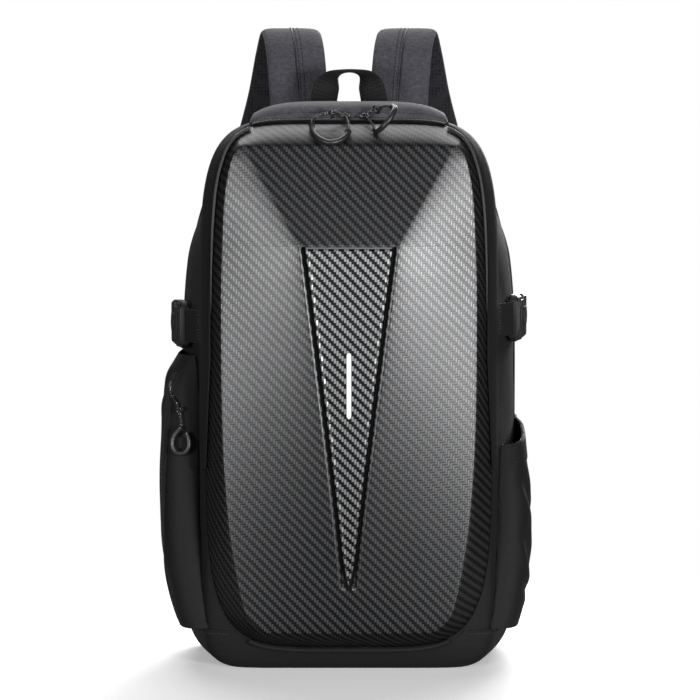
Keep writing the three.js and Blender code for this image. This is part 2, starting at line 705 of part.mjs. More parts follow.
function makeBackPad() {
  const insets = [
    { depth: 0, inset: 0.26 }, { depth: 0.6, inset: 0.255 }, { depth: 1, inset: 0.3 },
  ];
  const rings = insets.map(({ depth, inset }) => {
    const grow = -inset * BACK_HALF_WIDTH;
    const y = GUSSET_DEPTH + SEAM_GAP + depth * PAD_THICKNESS;
    const ring = bodyRing(GUSSET_DEPTH, grow, y);
    const [low, high] = [BASE_RISE * 1.3, BACK_TOP * 0.885];
    return ring.filter((point, i) => i % 2 === 0).map(([x, , z]) => [x, y, Math.min(Math.max(z, low), high)]);
  });
  addPart('back_pad', loft(rings), liningFabric);
}

// Patch pocket on the bag's right flank, as a solid that reaches into the bag, grown outwards
function pocketSolid(levels, tall, bulge, grow, topExtra = 0) {
  const rings = levels.map(({ level, reach }, index) => {
    const open = index === levels.length - 1 ? topExtra : 0;
    const z = BASE_RISE + SEAM_GAP * 2 + level * tall + open;
    const y0 = mix(POCKET_FRONT.bottom, POCKET_FRONT.top, level) * GUSSET_DEPTH - grow;
    const y1 = POCKET_BACK * GUSSET_DEPTH + grow;
    const out = BACK_HALF_WIDTH + reach * bulge + grow;
    const ring = [];
    for (let i = 0; i < POCKET_SIDES; i += 1) {
      const turn = ((i + 0.5) / POCKET_SIDES) * 2 * Math.PI;
      const [c, s] = [Math.cos(turn), Math.sin(turn)];
      const radius = 1 / (Math.abs(c) ** POCKET_SHAPE + Math.abs(s) ** POCKET_SHAPE) ** (1 / POCKET_SHAPE);
      const x = out - POCKET_DEEP * (1 - Math.max(c * radius, -0.5));
      ring.push([x, (y0 + y1) / 2 + ((y1 - y0) / 2) * s * radius, z]);
    }
    return ring;
  });
  return solidOf(loft(rings));
}

function cavityLevels(levels, tall) {
  const trim = POCKET_WALL / tall;
  return levels.map((row) => ({ ...row, level: mix(trim, 1 - trim, row.level) }));
}

function mirrored(solid, side) {
  const geometry = geometryFrom(solid);
  if (side > 0) return geometry;
  const position = geometry.attributes.position.array;
  for (let i = 0; i < position.length; i += 3) position[i] = -position[i];
  const index = geometry.index.array;
  for (let i = 0; i < index.length; i += 3) [index[i], index[i + 1]] = [index[i + 1], index[i]];
  return geometry;
}

function makePockets() {
  const body = bodySolid(SEAM_GAP * 2, POCKET_WALL);
  const outer = pocketSolid(POCKET_LEVELS, POCKET_HEIGHT, POCKET_BULGE, 0);
  const innerLevels = cavityLevels(POCKET_LEVELS, POCKET_HEIGHT);
  const inner = pocketSolid(innerLevels, POCKET_HEIGHT, POCKET_BULGE, -POCKET_WALL);
  addPart('side_pocket_left', mirrored(outer.subtract(inner).subtract(body), -1), fabric);
  const tall = BOTTLE_POCKET_HEIGHT;
  const bottle = pocketSolid(BOTTLE_LEVELS, tall, BOTTLE_POCKET_BULGE, 0);
  const cavity = pocketSolid(
    cavityLevels(BOTTLE_LEVELS, tall), tall, BOTTLE_POCKET_BULGE, -POCKET_WALL, POCKET_WALL * 4,
  );
  const mouth = (drop) => {
    const z0 = BASE_RISE + tall * 0.93 - drop;
    const slope = tall * 0.15;
    const far = BACK_HALF_WIDTH * 2;
    const corners = [
      [0, z0], [GUSSET_DEPTH, z0 + slope], [GUSSET_DEPTH, z0 + tall], [0, z0 + tall],
    ];
    return solidOf(loft([0, far].map((x) => corners.map(([y, z]) => [x, y, z]))));
  };
  const pocket = bottle.subtract(cavity).subtract(body).subtract(mouth(0));
  addPart('side_pocket_right', mirrored(pocket, 1), fabric);
  const hemOuter = pocketSolid(BOTTLE_LEVELS, tall, BOTTLE_POCKET_BULGE, SEAM_GAP + HEM_THICKNESS);
  const hemInner = pocketSolid(BOTTLE_LEVELS, tall, BOTTLE_POCKET_BULGE, SEAM_GAP, POCKET_WALL * 4);
  const hem = hemOuter.subtract(hemInner).subtract(body).subtract(mouth(0)).intersect(mouth(HEM_HEIGHT));
  addPart('pocket_hem', mirrored(hem, 1), webbing);
}

// Place on a pocket's outer face at a height and a depth
function pocketX(levels, tall, bulge, y, z) {
  const level = (z - BASE_RISE - SEAM_GAP * 2) / tall;
  const out = BACK_HALF_WIDTH + along(levels, 'level', 'reach', level) * bulge;
  const y0 = mix(POCKET_FRONT.bottom, POCKET_FRONT.top, level) * GUSSET_DEPTH;
  const y1 = POCKET_BACK * GUSSET_DEPTH;
  const across = Math.min(Math.abs(y - (y0 + y1) / 2) / ((y1 - y0) / 2), 1);
  return out - POCKET_DEEP * (1 - (1 - across ** POCKET_SHAPE) ** (1 / POCKET_SHAPE));
}

// Zip down the front corner of the left pocket, with its slider near the top
function makePocketZip() {
  const zip = pocketSolid(POCKET_LEVELS, POCKET_HEIGHT, POCKET_BULGE, SEAM_GAP + ZIP_THICKNESS);
  const under = pocketSolid(POCKET_LEVELS, POCKET_HEIGHT, POCKET_BULGE, SEAM_GAP);
  const [z0, z1] = POCKET_ZIP_ENDS.map((share) => BASE_RISE + share * POCKET_HEIGHT);
  const middle = POCKET_ZIP_PLACE * GUSSET_DEPTH;
  const inside = BACK_HALF_WIDTH - POCKET_DEEP * 0.3;
  const strip = solidOf(boxBetween(
    [inside, middle - ZIP_WIDTH / 2, z0],
    [BACK_HALF_WIDTH * 2, middle + ZIP_WIDTH / 2, z1],
  ));
  addPart('pocket_zip', mirrored(zip.subtract(under).intersect(strip), -1), liningFabric);
  const z = z1 - SLIDER_LENGTH * 1.3;
  const lift = SEAM_GAP * 2 + ZIP_THICKNESS + POCKET_ZIP_LIFT + SLIDER_HEIGHT / 2;
  const x = pocketX(POCKET_LEVELS, POCKET_HEIGHT, POCKET_BULGE, middle, z) + lift * Math.cos(POCKET_ZIP_TURN);
  const y = middle - lift * Math.sin(POCKET_ZIP_TURN);
  const sliderBox = new THREE.BoxGeometry(SLIDER_HEIGHT, SLIDER_WIDTH, SLIDER_LENGTH);
  const slider = addPart('pocket_slider', sliderBox, bucklePlastic);
  slider.rotation.z = POCKET_ZIP_TURN;
  slider.position.set(-x, y, z);
  const placed = (points) => points.map(([out, back, up]) => [-x - out, y + back, z + up]);
  addPart('pocket_cord', tube(placed(POCKET_CORD), CORD_RADIUS, 14), cordMaterial, pulls);
  addPart('pocket_grip', tube(placed(POCKET_GRIP), GRIP_RADIUS, 16), rubber, pulls);
}

// Webbing across the bag's flank with a fastened side release buckle
function makeCompression(side, label) {
  const stagger = side > 0 ? BUCKLE_STAGGER : 0;
  const z = BASE_RISE + POCKET_HEIGHT + BUCKLE_CLEARANCE + BUCKLE_WIDTH / 2 + stagger;
  const middle = GUSSET_DEPTH * BUCKLE_PLACE;
  const [front, back] = [middle - BUCKLE_LENGTH / 2, middle + BUCKLE_LENGTH / 2];
  const tilt = Math.atan((sideX(back, z) - sideX(front, z)) / BUCKLE_LENGTH);
  const lineX = sideX(middle, z) + SEAM_GAP * 3 + BUCKLE_THICKNESS / 2;
  const onLine = (y) => lineX + (y - middle) * Math.tan(tilt);
  const size = { width: SIDE_WEB_WIDTH, thickness: WEB_THICKNESS, across: [0, 0, 1] };
  const row = (x, y) => ({ place: [side * x, y, z], ...size });
  const lie = SEAM_GAP * 3 + WEB_THICKNESS / 2;
  const sewn = FLAP_REACH + SEAM_GAP * 3;
  const frontRows = [sewn, sewn * 2].map((y) => row(sideX(y, z) + lie, y));
  frontRows.push(row(onLine(front) - SEAM_GAP, front - SEAM_GAP));
  addPart(`side_web_front_${label}`, ribbon(frontRows, 6), webbing);
  const backRows = [row(onLine(back), back + SEAM_GAP * 3)];
  const sewnBehind = [0.91, 0.98].map((share) => share * GUSSET_DEPTH);
  backRows.push(...sewnBehind.map((y) => row(sideX(y, z) + lie, y)));
  addPart(`side_web_back_${label}`, ribbon(backRows, 6), webbing);

  const [halfW, halfT] = [BUCKLE_WIDTH / 2, BUCKLE_THICKNESS / 2];
  const split = -BUCKLE_LENGTH * 0.1;
  const prong = BUCKLE_WIDTH * 0.13;
  const windowLength = BUCKLE_LENGTH * 0.28;
  const socketEnds = [[split, 0.92], [split + 4, 1], [BUCKLE_LENGTH / 2 - 4, 0.96], [BUCKLE_LENGTH / 2, 0.8]];
  const socketBox = loft(socketEnds.map(
    ([y, share]) => buckleSection(y, halfW * share, halfT * mix(1, share, 0.5)),
  ));
  const sideWindows = [-1, 1].map((end) => solidOf(boxBetween(
    [-halfT * 2, split - 1, end * (halfW + 1)],
    [halfT * 2, split + windowLength, end * (halfW - prong)],
  )));
  const socket = sideWindows.reduce((solid, cut) => solid.subtract(cut), solidOf(socketBox));
  const plugEnds = [[-BUCKLE_LENGTH / 2, 0.82], [-BUCKLE_LENGTH / 2 + 4, 1], [split - SEAM_GAP, 1]];
  const plugBox = solidOf(loft(plugEnds.map(([y, share]) => buckleSection(y, halfW * share, halfT * 0.9))));
  const prongs = [-1, 1].map((end) => solidOf(boxBetween(
    [-halfT * 0.6, split - 2, end * halfW],
    [halfT * 0.6, split + windowLength - SEAM_GAP * 4, end * (halfW - prong + SEAM_GAP)],
  )));
  const plug = prongs.reduce((solid, part) => solid.add(part), plugBox);
  for (const [name, solid] of [['buckle_socket', socket], ['buckle_plug', plug]]) {
    const mesh = addPart(`${name}_${label}`, geometryFrom(solid), bucklePlastic);
    mesh.rotation.z = -side * tilt;
    mesh.position.set(side * lineX, middle, z);
  }
}

function buckleSection(y, halfW, halfT) {
  const edge = halfT * 0.5;
  return [
    [halfT, y, halfW - edge], [halfT - edge, y, halfW], [edge - halfT, y, halfW], [-halfT, y, halfW - edge],
    [-halfT, y, edge - halfW], [edge - halfT, y, -halfW], [halfT - edge, y, -halfW], [halfT, y, edge - halfW],
  ];
}

function strapPlace(side, row) {
  const lie = SEAM_GAP * 2 + STRAP_THICKNESS / 2;
  return [
    side * row.out * BACK_HALF_WIDTH,
    GUSSET_DEPTH + lie + row.back * STRAP_REACH,
    row.up * BACK_TOP + row.over * STRAP_CREST,
  ];
}

function makeStrap(side, label) {
  const rows = STRAP_ROWS.map((row) => ({
    place: strapPlace(side, row),
    width: row.width * STRAP_WIDTH,
    thickness: row.thickness * STRAP_THICKNESS,
    across: [1, 0, 0],
  }));
  addPart(`shoulder_strap_${label}`, ribbon(rows, STRAP_STEPS), greyFabric);

  const [before, end] = rows.slice(-2).map(({ place }) => new THREE.Vector3(...place));
  const down = end.clone().sub(before).normalize();
  const tabTop = new THREE.Vector3(
    side * BACK_HALF_WIDTH * 0.84,
    GUSSET_DEPTH + SEAM_GAP * 3 + TAB_THICKNESS + WEB_THICKNESS,
    BACK_TOP * 0.17,
  );
  const lockTop = end.clone().addScaledVector(down, SEAM_GAP * 2);
  const lockBottom = lockTop.clone().addScaledVector(down, LOCK_HEIGHT);
  const across = [1, 0, 0];
  const frame = solidOf(ribbon([lockTop, lockBottom].map((place) => (
    { place: place.toArray(), width: STRAP_WEB_WIDTH + LOCK_MARGIN, thickness: LOCK_THICKNESS, across }
  )), 1));
  const slots = [0.2, 0.62].map((share) => {
    const from = lockTop.clone().lerp(lockBottom, share);
    const to = lockTop.clone().lerp(lockBottom, share + 0.22);
    return solidOf(ribbon([from, to].map((place) => (
      { place: place.toArray(), width: STRAP_WEB_WIDTH + 1, thickness: LOCK_THICKNESS * 2, across }
    )), 1));
  });
  const lock = slots.reduce((solid, slot) => solid.subtract(slot), frame);
  addPart(`ladder_lock_${label}`, geometryFrom(lock), bucklePlastic);

  const webStart = lockBottom.clone().addScaledVector(down, SEAM_GAP + WEB_THICKNESS);
  const webEnd = tabTop.clone().add(new THREE.Vector3(0, 0, -TAB_THICKNESS * 2));
  const bend = webStart.clone().lerp(webEnd, 0.5).add(new THREE.Vector3(0, LOCK_SAG, 0));
  const webRows = [webStart, bend, webEnd].map((place) => (
    { place: place.toArray(), width: STRAP_WEB_WIDTH, thickness: WEB_THICKNESS, across }
  ));
  addPart(`strap_web_${label}`, ribbon(webRows, 8), webbing);

  const half = STRAP_WEB_WIDTH * 0.62;
  const y = [GUSSET_DEPTH + SEAM_GAP * 2, GUSSET_DEPTH + SEAM_GAP * 2 + TAB_THICKNESS];
  const outer = side * sideX(GUSSET_DEPTH, BACK_TOP * 0.08) * 0.985;
  const tabLow = BASE_RISE + SEAM_GAP * 2;
  const triangle = [
    [tabTop.x - half, tabTop.z], [tabTop.x + half, tabTop.z], [outer, BACK_TOP * 0.12], [outer, tabLow],
    [tabTop.x - side * half, tabLow],
  ];
  const [left, right, ...rest] = triangle;
  const corners = side > 0 ? [left, right, ...rest] : [right, left, ...rest];
  addPart(`strap_tab_${label}`, loft(y.map((depth) => corners.map(([x, z]) => [x, depth, z]))), webbing);
}

// Carry loop of webbing: its legs face the front and its crown lies flat, so it turns on the way up
function makeHaulLoop() {
  const y = GUSSET_DEPTH * HAUL_PLACE;
  const rise = (x) => topZ(x, y) + SEAM_GAP * 3;
  const spots = [
    { share: -1, up: 0, turn: 0 }, { share: -0.98, up: 0.3, turn: 0.06 },
    { share: -0.82, up: 0.66, turn: 0.3 }, { share: -0.5, up: 0.92, turn: 0.75 },
    { share: 0, up: 1, turn: 1 }, { share: 0.5, up: 0.93, turn: 0.75 },
    { share: 0.82, up: 0.68, turn: 0.3 }, { share: 0.98, up: 0.3, turn: 0.06 }, { share: 1, up: 0, turn: 0 },
  ];
  const rows = spots.map(({ share, up, turn }) => {
    const angle = turn * Math.PI / 2;
    const x = share * HAUL_HALF_SPAN;
    return {
      place: [x, y, rise(x) + up * HAUL_HEIGHT],
      width: HAUL_WEB_WIDTH * mix(0.92, 1, turn),
      thickness: HAUL_THICKNESS,
      across: [Math.cos(angle) * (share < 0 ? 1 : -1), Math.sin(angle), 0],
    };
  });
  addPart('haul_loop', ribbon(rows, 22), webbing);
}

makeShell();
makeBar();
makeBody();
makeBase();
makeBackPad();
makeTop();
makeBasePiping();
makePulls();
makePockets();
makePocketZip();
makeHaulLoop();
for (const [side, label] of [[-1, 'left'], [1, 'right']]) {
  makeFlap(side, label);
  makePiping(side, label);
  makeCompression(side, label);
  makeStrap(side, label);
}

// The origin is under the middle of the backpack without its pulls, on the surface that it stands on
backpack.updateMatrixWorld(true);
const box = new THREE.Box3().setFromObject(pieces, true);
backpack.children.forEach((group) => {
  group.position.set(-(box.min.x + box.max.x) / 2, -(box.min.y + box.max.y) / 2, -box.min.z);
});

export default backpack;
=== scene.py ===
import math
import bmesh
import bpy
import numpy as np
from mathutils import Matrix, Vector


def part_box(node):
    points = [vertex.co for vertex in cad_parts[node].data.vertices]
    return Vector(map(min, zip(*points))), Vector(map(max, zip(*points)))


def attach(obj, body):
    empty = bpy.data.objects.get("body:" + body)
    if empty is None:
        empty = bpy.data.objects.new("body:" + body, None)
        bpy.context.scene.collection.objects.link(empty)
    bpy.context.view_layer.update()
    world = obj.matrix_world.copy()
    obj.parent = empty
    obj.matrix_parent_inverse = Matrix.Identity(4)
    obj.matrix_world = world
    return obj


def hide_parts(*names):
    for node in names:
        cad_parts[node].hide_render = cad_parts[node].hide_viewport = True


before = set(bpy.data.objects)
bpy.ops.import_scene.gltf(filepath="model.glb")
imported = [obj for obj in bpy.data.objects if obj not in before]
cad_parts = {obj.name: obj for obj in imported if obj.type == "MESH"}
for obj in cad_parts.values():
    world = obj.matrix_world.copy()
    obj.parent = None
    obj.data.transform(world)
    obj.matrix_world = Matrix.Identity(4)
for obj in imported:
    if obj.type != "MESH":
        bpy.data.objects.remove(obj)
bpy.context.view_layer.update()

# Sizes are in millimetres, in the bag's own frame: x is 0 at its middle, y is 0 at the seam between the shell
# and the gusset, and z is 0 on the floor. in_metres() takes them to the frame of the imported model.
bag_low, bag_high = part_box("bag_body")
shell_low, shell_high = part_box("shell")
SEAM_X = (bag_low.x + bag_high.x) / 2
SEAM_Y = bag_low.y
SEAM_GAP = 0.3
RIM_HALF_WIDTH = (shell_high.x - shell_low.x) * 500
RIM_TOP = shell_high.z * 1000
RIM_BOTTOM = shell_low.z * 1000
BACK_HALF_WIDTH = (bag_high.x - bag_low.x) * 500
BACK_TOP = bag_high.z * 1000
GUSSET_DEPTH = (bag_high.y - bag_low.y) * 1000
SHELL_HEIGHT = RIM_TOP - RIM_BOTTOM
RIM_MIDDLE = (RIM_TOP + RIM_BOTTOM) / 2
SHELL_RISE = 46
SHELL_WALL = 2.4
PLATE_HALF_WIDTH = 36
PLATE_TIP_HALF_WIDTH = 2.6
PLATE_STEP = 0.8
GROOVE_WIDTH = 3.6
GROOVE_DEPTH = 3
FABRIC_WALL = 2.4
BODY_BOTTOM = 2.5
BASE_RISE = 34
BASE_WALL = 2.2
FLAP_REACH = 6
FLAP_THICKNESS = 1.4
BAND_HALF_WIDTH = 84
BAND_HEIGHT = 14
BAND_DEPTH = 44
ZIP_WIDTH = 8
POCKET_HEIGHT = 231
POCKET_BULGE = 17
BOTTLE_POCKET_HEIGHT = 160
BOTTLE_POCKET_BULGE = 10.5
POCKET_WALL = 1.8
POCKET_DEEP = 22
POCKET_SHAPE = 2.8
STRAP_WIDTH = 50
STRAP_THICKNESS = 10
STRAP_REACH = 74
STRAP_CREST = 69
STRAP_WEB_WIDTH = 25
WEB_THICKNESS = 1.8
SIDE_WEB_WIDTH = 28
BUCKLE_LENGTH = 62
BUCKLE_THICKNESS = 10
HAUL_HEIGHT = 33
HAUL_HALF_SPAN = 22
GRIP_RADIUS = 2.3
CORD_RADIUS = 1
PLATE_TIP, PLATE_TOP, PLATE_TAPER = 0.132, 0.769, 1.1
FLAP_TAPER = 26
FLAP_FOOT = 0.36
CAMERA_TILT = math.radians(4)
CAMERA_DISTANCE = 2.3
CAMERA_LENS = 140.6
CAMERA_TARGET = (0.0009, -0.0836, 0.2726)
TWILL_CELL = 0.0021
AROUND_LIGHT = 0.06
BASE_PIPING_RADIUS = 2
CORNER_PIPING_RADIUS = 1.2
BUCKLE_PLACE = 0.53
HAUL_PLACE = 0.78
HAUL_WIDTH = 25
TAB_PLACE = 0.84
TAB_STITCHES = ((-10, 60), (10, 60), (10, 74), (-10, 74), (-10, 60))
FLAP_COVER = ((0.365, 0.433, 0.5, 0.55), (0.14, 0.25, 0.36, 0.45))
PLATE_POINT = 0.045
# How strongly shade is painted onto the shell's side wall in its finish
WALL_SHADE = 0.55
FLOOR_FADE = (0.2, 0.6)
ZIP_SHOWN = 5.5
SLUMP, SLUMP_START, SLUMP_RUN, SHOULDER_START, SHOULDER_RUN = 7, 345, 75, 72, 40
CREASE_END, FACET_CURVE, WALL_ROUND = 0.93, 1.2, 1.4

# The bag from its front seam to its back: depth as a share, then how far its outline has gone from the rim's
# to the back's, then from the rim's bottom edge to the base
STATIONS = np.array([
    (0, 0, 0), (0.05, 0.08, 0.72), (0.12, 0.19, 1), (0.3, 0.48, 1), (0.52, 0.78, 1), (0.74, 0.96, 1),
    (0.92, 1, 1), (1, 0.93, 1),
])
# The shell: height, half width of its face, rise at the ridge and at the face's edge, all as shares
SHELL_ROWS = np.array([
    (0.038, 0.587, 0.56, 0.52), (0.05, 0.645, 0.585, 0.53), (0.068, 0.7, 0.615, 0.54),
    (0.097, 0.736, 0.66, 0.55), (0.118, 0.753, 0.69, 0.556), (0.16, 0.78, 0.74, 0.565),
    (0.221, 0.815, 0.805, 0.573), (0.298, 0.843, 0.87, 0.58), (0.365, 0.86, 0.915, 0.583),
    (0.433, 0.87, 0.948, 0.586), (0.5, 0.874, 0.972, 0.588), (0.57, 0.876, 0.988, 0.588),
    (0.64, 0.876, 0.997, 0.588), (0.71, 0.873, 0.998, 0.587), (0.766, 0.867, 0.985, 0.586),
    (0.772, 0.866, 0.982, 0.586), (0.82, 0.858, 0.882, 0.585), (0.87, 0.845, 0.778, 0.584),
    (0.91, 0.82, 0.694, 0.582), (0.94, 0.785, 0.632, 0.58), (0.955, 0.74, 0.6, 0.58),
])
# Pockets: level up the pocket, then how far it bulges
POCKET_LEVELS = np.array([
    (0, 0.02), (0.04, 0.25), (0.14, 0.6), (0.31, 0.9), (0.5, 1),
    (0.68, 0.96), (0.83, 0.84), (0.94, 0.5), (1, 0.04),
])
BOTTLE_LEVELS = np.array([
    (0, 0.02), (0.06, 0.3), (0.2, 0.72), (0.42, 1), (0.66, 0.96), (0.85, 0.72), (1.2, 0.3),
])
# Shoulder strap from its root to its lower end: out, back, up, over, width, thickness
STRAP_ROWS = np.array([
    (0.29, 0, 0.915, 0, 0.96, 0.6), (0.295, 0.01, 0.955, 0, 1, 0.85), (0.31, 0.05, 1, 0.3, 1, 1),
    (0.335, 0.25, 1, 0.82, 1, 1), (0.365, 0.56, 1, 1, 1, 1), (0.405, 0.84, 1, 0.72, 1, 1),
    (0.455, 0.98, 1, 0.16, 1.02, 1), (0.52, 1, 0.93, 0, 1.1, 1), (0.6, 0.95, 0.81, 0, 1.16, 1),
    (0.67, 0.82, 0.67, 0, 1.12, 1), (0.71, 0.64, 0.53, 0, 1, 1), (0.72, 0.47, 0.4, 0, 0.84, 0.9),
])

# Cord routes, from the middle of the shell's top edge
PULL_CORD_LEFT = [
    (-31.3, -9.9, -0.75), (-30, -7.5, 2.5), (-24, -5, 6.5), (-15, -2.5, 9), (-8, -0.6, 8), (-3.5, -0.2, 5.6),
    (-1, -5, 2), (-0.3, -12, -2.6), (-0.52, -17.76, -6.76),
]
PULL_GRIP_LEFT = [
    (-31.2, -10.4, -1.2), (-30, -16.5, -7), (-25, -24, -13), (-16, -28, -16.5), (-7, -25.5, -14.5),
    (-1.8, -21.5, -10.5), (-0.6, -18, -7),
]
PULL_CORD_RIGHT = [
    (21.86, -13.99, -5.52), (19.5, -9, -1.5), (16, -3.5, 3.4),
    (14.4, -0.3, 5.8), (17, -0.6, 9), (24, -4, 12.4),
    (31, -9, 14), (35.83, -13, 13.05),
]
PULL_GRIP_RIGHT = [
    (22, -14.3, -5.6), (24, -18.8, -6.7), (28.5, -24, -3.2), (33.5, -25, 2.8), (37, -22, 8.8),
    (38, -16.8, 12.4), (36, -13.3, 13),
]
# The pocket's pull, out, back and up from the middle of its slider
POCKET_CORD = [
    (0, 0, -5.3), (-1.2, -2.6, -8), (-4.2, -5.6, -12), (-7, -7.6, -18), (-8.6, -8.6, -25), (-9, -9.2, -32.6),
]
POCKET_GRIP = [
    (-9, -9.6, -33.9), (-5, -10.3, -37.6), (-1.9, -10.9, -43.5), (-1.8, -11.6, -50), (-5.4, -12, -55),
    (-11.6, -12, -55), (-15.4, -11.6, -50), (-15.2, -10.9, -43.5), (-12.8, -10.6, -38.6),
]
POCKET_ZIP_TURN = 0.8
slider_low, slider_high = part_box("pocket_slider")
POCKET_SLIDER = (
    (slider_low.x + slider_high.x) * 500 - SEAM_X * 1000,
    (slider_low.y + slider_high.y) * 500 - SEAM_Y * 1000,
    (slider_low.z + slider_high.z) * 500,
)

scene = bpy.context.scene


def in_metres(points):
    return np.asarray(points, float) * 0.001 + np.array([SEAM_X, SEAM_Y, 0])


def node_box(node):
    """Lowest and highest corners of a node in the bag's own frame, in millimetres."""
    return [np.array(corner) * 1000 - [SEAM_X * 1000, SEAM_Y * 1000, 0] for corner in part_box(node)]


def mix(a, b, share):
    return a + (b - a) * share


def curve(keys, values, at):
    """Smooth value of a table, never past the two rows on either side."""
    keys, values = np.asarray(keys, float), np.asarray(values, float)
    slopes = np.gradient(values, keys)
    at = np.clip(at, keys[0], keys[-1])
    low = np.clip(np.searchsorted(keys, at, side="right") - 1, 0, len(keys) - 2)
    span = keys[low + 1] - keys[low]
    t = (at - keys[low]) / span
    first, last = values[low], values[low + 1]
    value = (2 * t**3 - 3 * t**2 + 1) * first + (t**3 - 2 * t**2 + t) * span * slopes[low]
    value = value + (3 * t**2 - 2 * t**3) * last + (t**3 - t**2) * span * slopes[low + 1]
    return np.clip(value, np.minimum(first, last), np.maximum(first, last))


def smooth_path(points, count):
    """Centripetal Catmull-Rom curve through the points."""
    points = np.asarray(points, float)
    padded = np.vstack([2 * points[0] - points[1], points, 2 * points[-1] - points[-2]])
    place = np.linspace(0, len(points) - 1, count)
    low = np.minimum(place.astype(int), len(points) - 2)
    t = (place - low)[:, None]
    p0, p1, p2, p3 = (padded[low + k] for k in range(4))
    d0, d1, d2 = (np.maximum(np.linalg.norm(b - a, axis=1), 1e-6)[:, None] ** 0.5
                  for a, b in ((p0, p1), (p1, p2), (p2, p3)))
    m1 = ((p1 - p0) / d0 - (p2 - p0) / (d0 + d1) + (p2 - p1) / d1) * d1
    m2 = ((p2 - p1) / d1 - (p3 - p1) / (d1 + d2) + (p3 - p2) / d2) * d1
    start = (2 * t**3 - 3 * t**2 + 1) * p1 + (t**3 - 2 * t**2 + t) * m1
    return start + (3 * t**2 - 2 * t**3) * p2 + (t**3 - t**2) * m2


def lengths_along(points):
    steps = np.linalg.norm(np.diff(points, axis=0), axis=1)
    return np.concatenate([[0], np.cumsum(steps)])


def resampled(points, count):
    points = np.asarray(points, float)
    run = lengths_along(points)
    at = np.linspace(0, run[-1], count)
    return np.stack([np.interp(at, run, points[:, k]) for k in range(points.shape[1])], axis=1)


def unit(vectors):
    return vectors / np.maximum(np.linalg.norm(vectors, axis=-1, keepdims=True), 1e-9)


# Finishes


class Value:
    """A socket of a finish, with arithmetic."""

    def __init__(self, finish, socket):
        self.finish, self.socket = finish, socket

    def math(self, operation, *others):
        inputs = {index: value for index, value in enumerate((self,) + others)}
        return self.finish.node("Math", {"operation": operation}, inputs)

    def reflected(self, operation, other):
        return self.finish.node("Math", {"operation": operation}, {0: other, 1: self})

    def __add__(self, other):
        return self.math("ADD", other)

    def __sub__(self, other):
        return self.math("SUBTRACT", other)

    def __rsub__(self, other):
        return self.reflected("SUBTRACT", other)

    def __mul__(self, other):
        return self.math("MULTIPLY", other)

    def __truediv__(self, other):
        return self.math("DIVIDE", other)

    def __gt__(self, other):
        return self.math("GREATER_THAN", other)

    def __lt__(self, other):
        return self.math("LESS_THAN", other)

    __radd__ = __add__
    __rmul__ = __mul__


class Finish:
    """A procedural material."""

    def __init__(self, name):
        self.material = bpy.data.materials.new(name)
        self.material.use_nodes = True
        self.tree = self.material.node_tree
        self.tree.nodes.clear()

    def node(self, kind, settings, inputs, output=0):
        node = self.tree.nodes.new("ShaderNode" + kind)
        for key, value in settings.items():
            setattr(node, key, value)
        for key, value in inputs.items():
            if isinstance(value, Value):
                self.tree.links.new(value.socket, node.inputs[key])
            else:
                node.inputs[key].default_value = value
        return Value(self, node.outputs[output])

    def object_place(self):
        return self.node("TexCoord", {}, {}, "Object")

    def sheet_place(self):
        flat = self.node("TexCoord", {}, {}, "UV")
        return [self.node("SeparateXYZ", {}, {"Vector": flat}, axis) for axis in ("X", "Y")]

    def noise(self, scale, detail=3, place=None, stretch=None):
        place = place or self.object_place()
        if stretch:
            place = self.node("Mapping", {}, {"Vector": place, "Scale": stretch})
        return self.node("TexNoise", {}, {"Vector": place, "Scale": scale, "Detail": detail}, 0)

    def blend(self, share, first, second):
        colors = [value if isinstance(value, Value) else (*value, 1) for value in (first, second)]
        return self.node("Mix", {"data_type": "RGBA"}, {0: share, 6: colors[0], 7: colors[1]}, 2)

    def bump(self, height, distance, strength=1):
        return self.node("Bump", {}, {"Height": height, "Distance": distance, "Strength": strength})

    def done(self, color, roughness, normal=None, **constants):
        inputs = {"Base Color": color if isinstance(color, Value) else (*color, 1), "Roughness": roughness}
        inputs.update({key.replace("_", " "): value for key, value in constants.items()})
        if normal:
            inputs["Normal"] = normal
        surface = self.node("BsdfPrincipled", {}, inputs)
        output = self.tree.nodes.new("ShaderNodeOutputMaterial")
        self.tree.links.new(surface.socket, output.inputs["Surface"])
        return self.material


def carbon_twill():
    """Two by two twill: bright tows and dark tows in steps that run down to the right."""
    finish = Finish("carbon twill")
    u, v = finish.sheet_place()
    across, up = u / TWILL_CELL, v / TWILL_CELL
    column, row = across.math("FLOOR"), up.math("FLOOR")
    turn = (column + row + 4000).math("MODULO", 4)
    warp = turn < 1.5
    across_tow = (across - column - 0.5).math("ABSOLUTE") * 2
    up_tow = (up - row - 0.5).math("ABSOLUTE") * 2
    crown = warp * (1 - across_tow * across_tow) + (1 - warp) * (1 - up_tow * up_tow)
    threads = finish.noise(2600, 2) * 0.4 + 0.8
    # Painted shade: the second attribute darkens the grooves beside the plate and the shell's side wall towards
    # black, and makes them rougher and without coat
    painted_shade = finish.node("Attribute", {"attribute_name": "painted_shade"}, {}, "Fac")
    plate = finish.node("Attribute", {"attribute_name": "plate"}, {}, "Fac")
    tow = finish.blend(plate, (0.072, 0.0735, 0.078), (0.29, 0.294, 0.302))
    light = finish.blend(crown * threads, (0.012, 0.0125, 0.0135), tow)
    stripes = finish.blend(warp, (0.0015, 0.0015, 0.002), light)
    color = finish.blend(painted_shade, stripes, (0.001, 0.001, 0.001))
    normal = finish.bump(crown + warp * 0.5, 0.0002, 0.6)
    rough = 0.3 + 0.08 * finish.noise(60, 2) + painted_shade * 0.4
    coat = (0.62 - plate * 0.5) * (1 - painted_shade)
    return finish.done(color, rough, normal, Metallic=0.4, Coat_Weight=coat, Coat_Roughness=0.34,
                       Specular_IOR_Level=0.3)


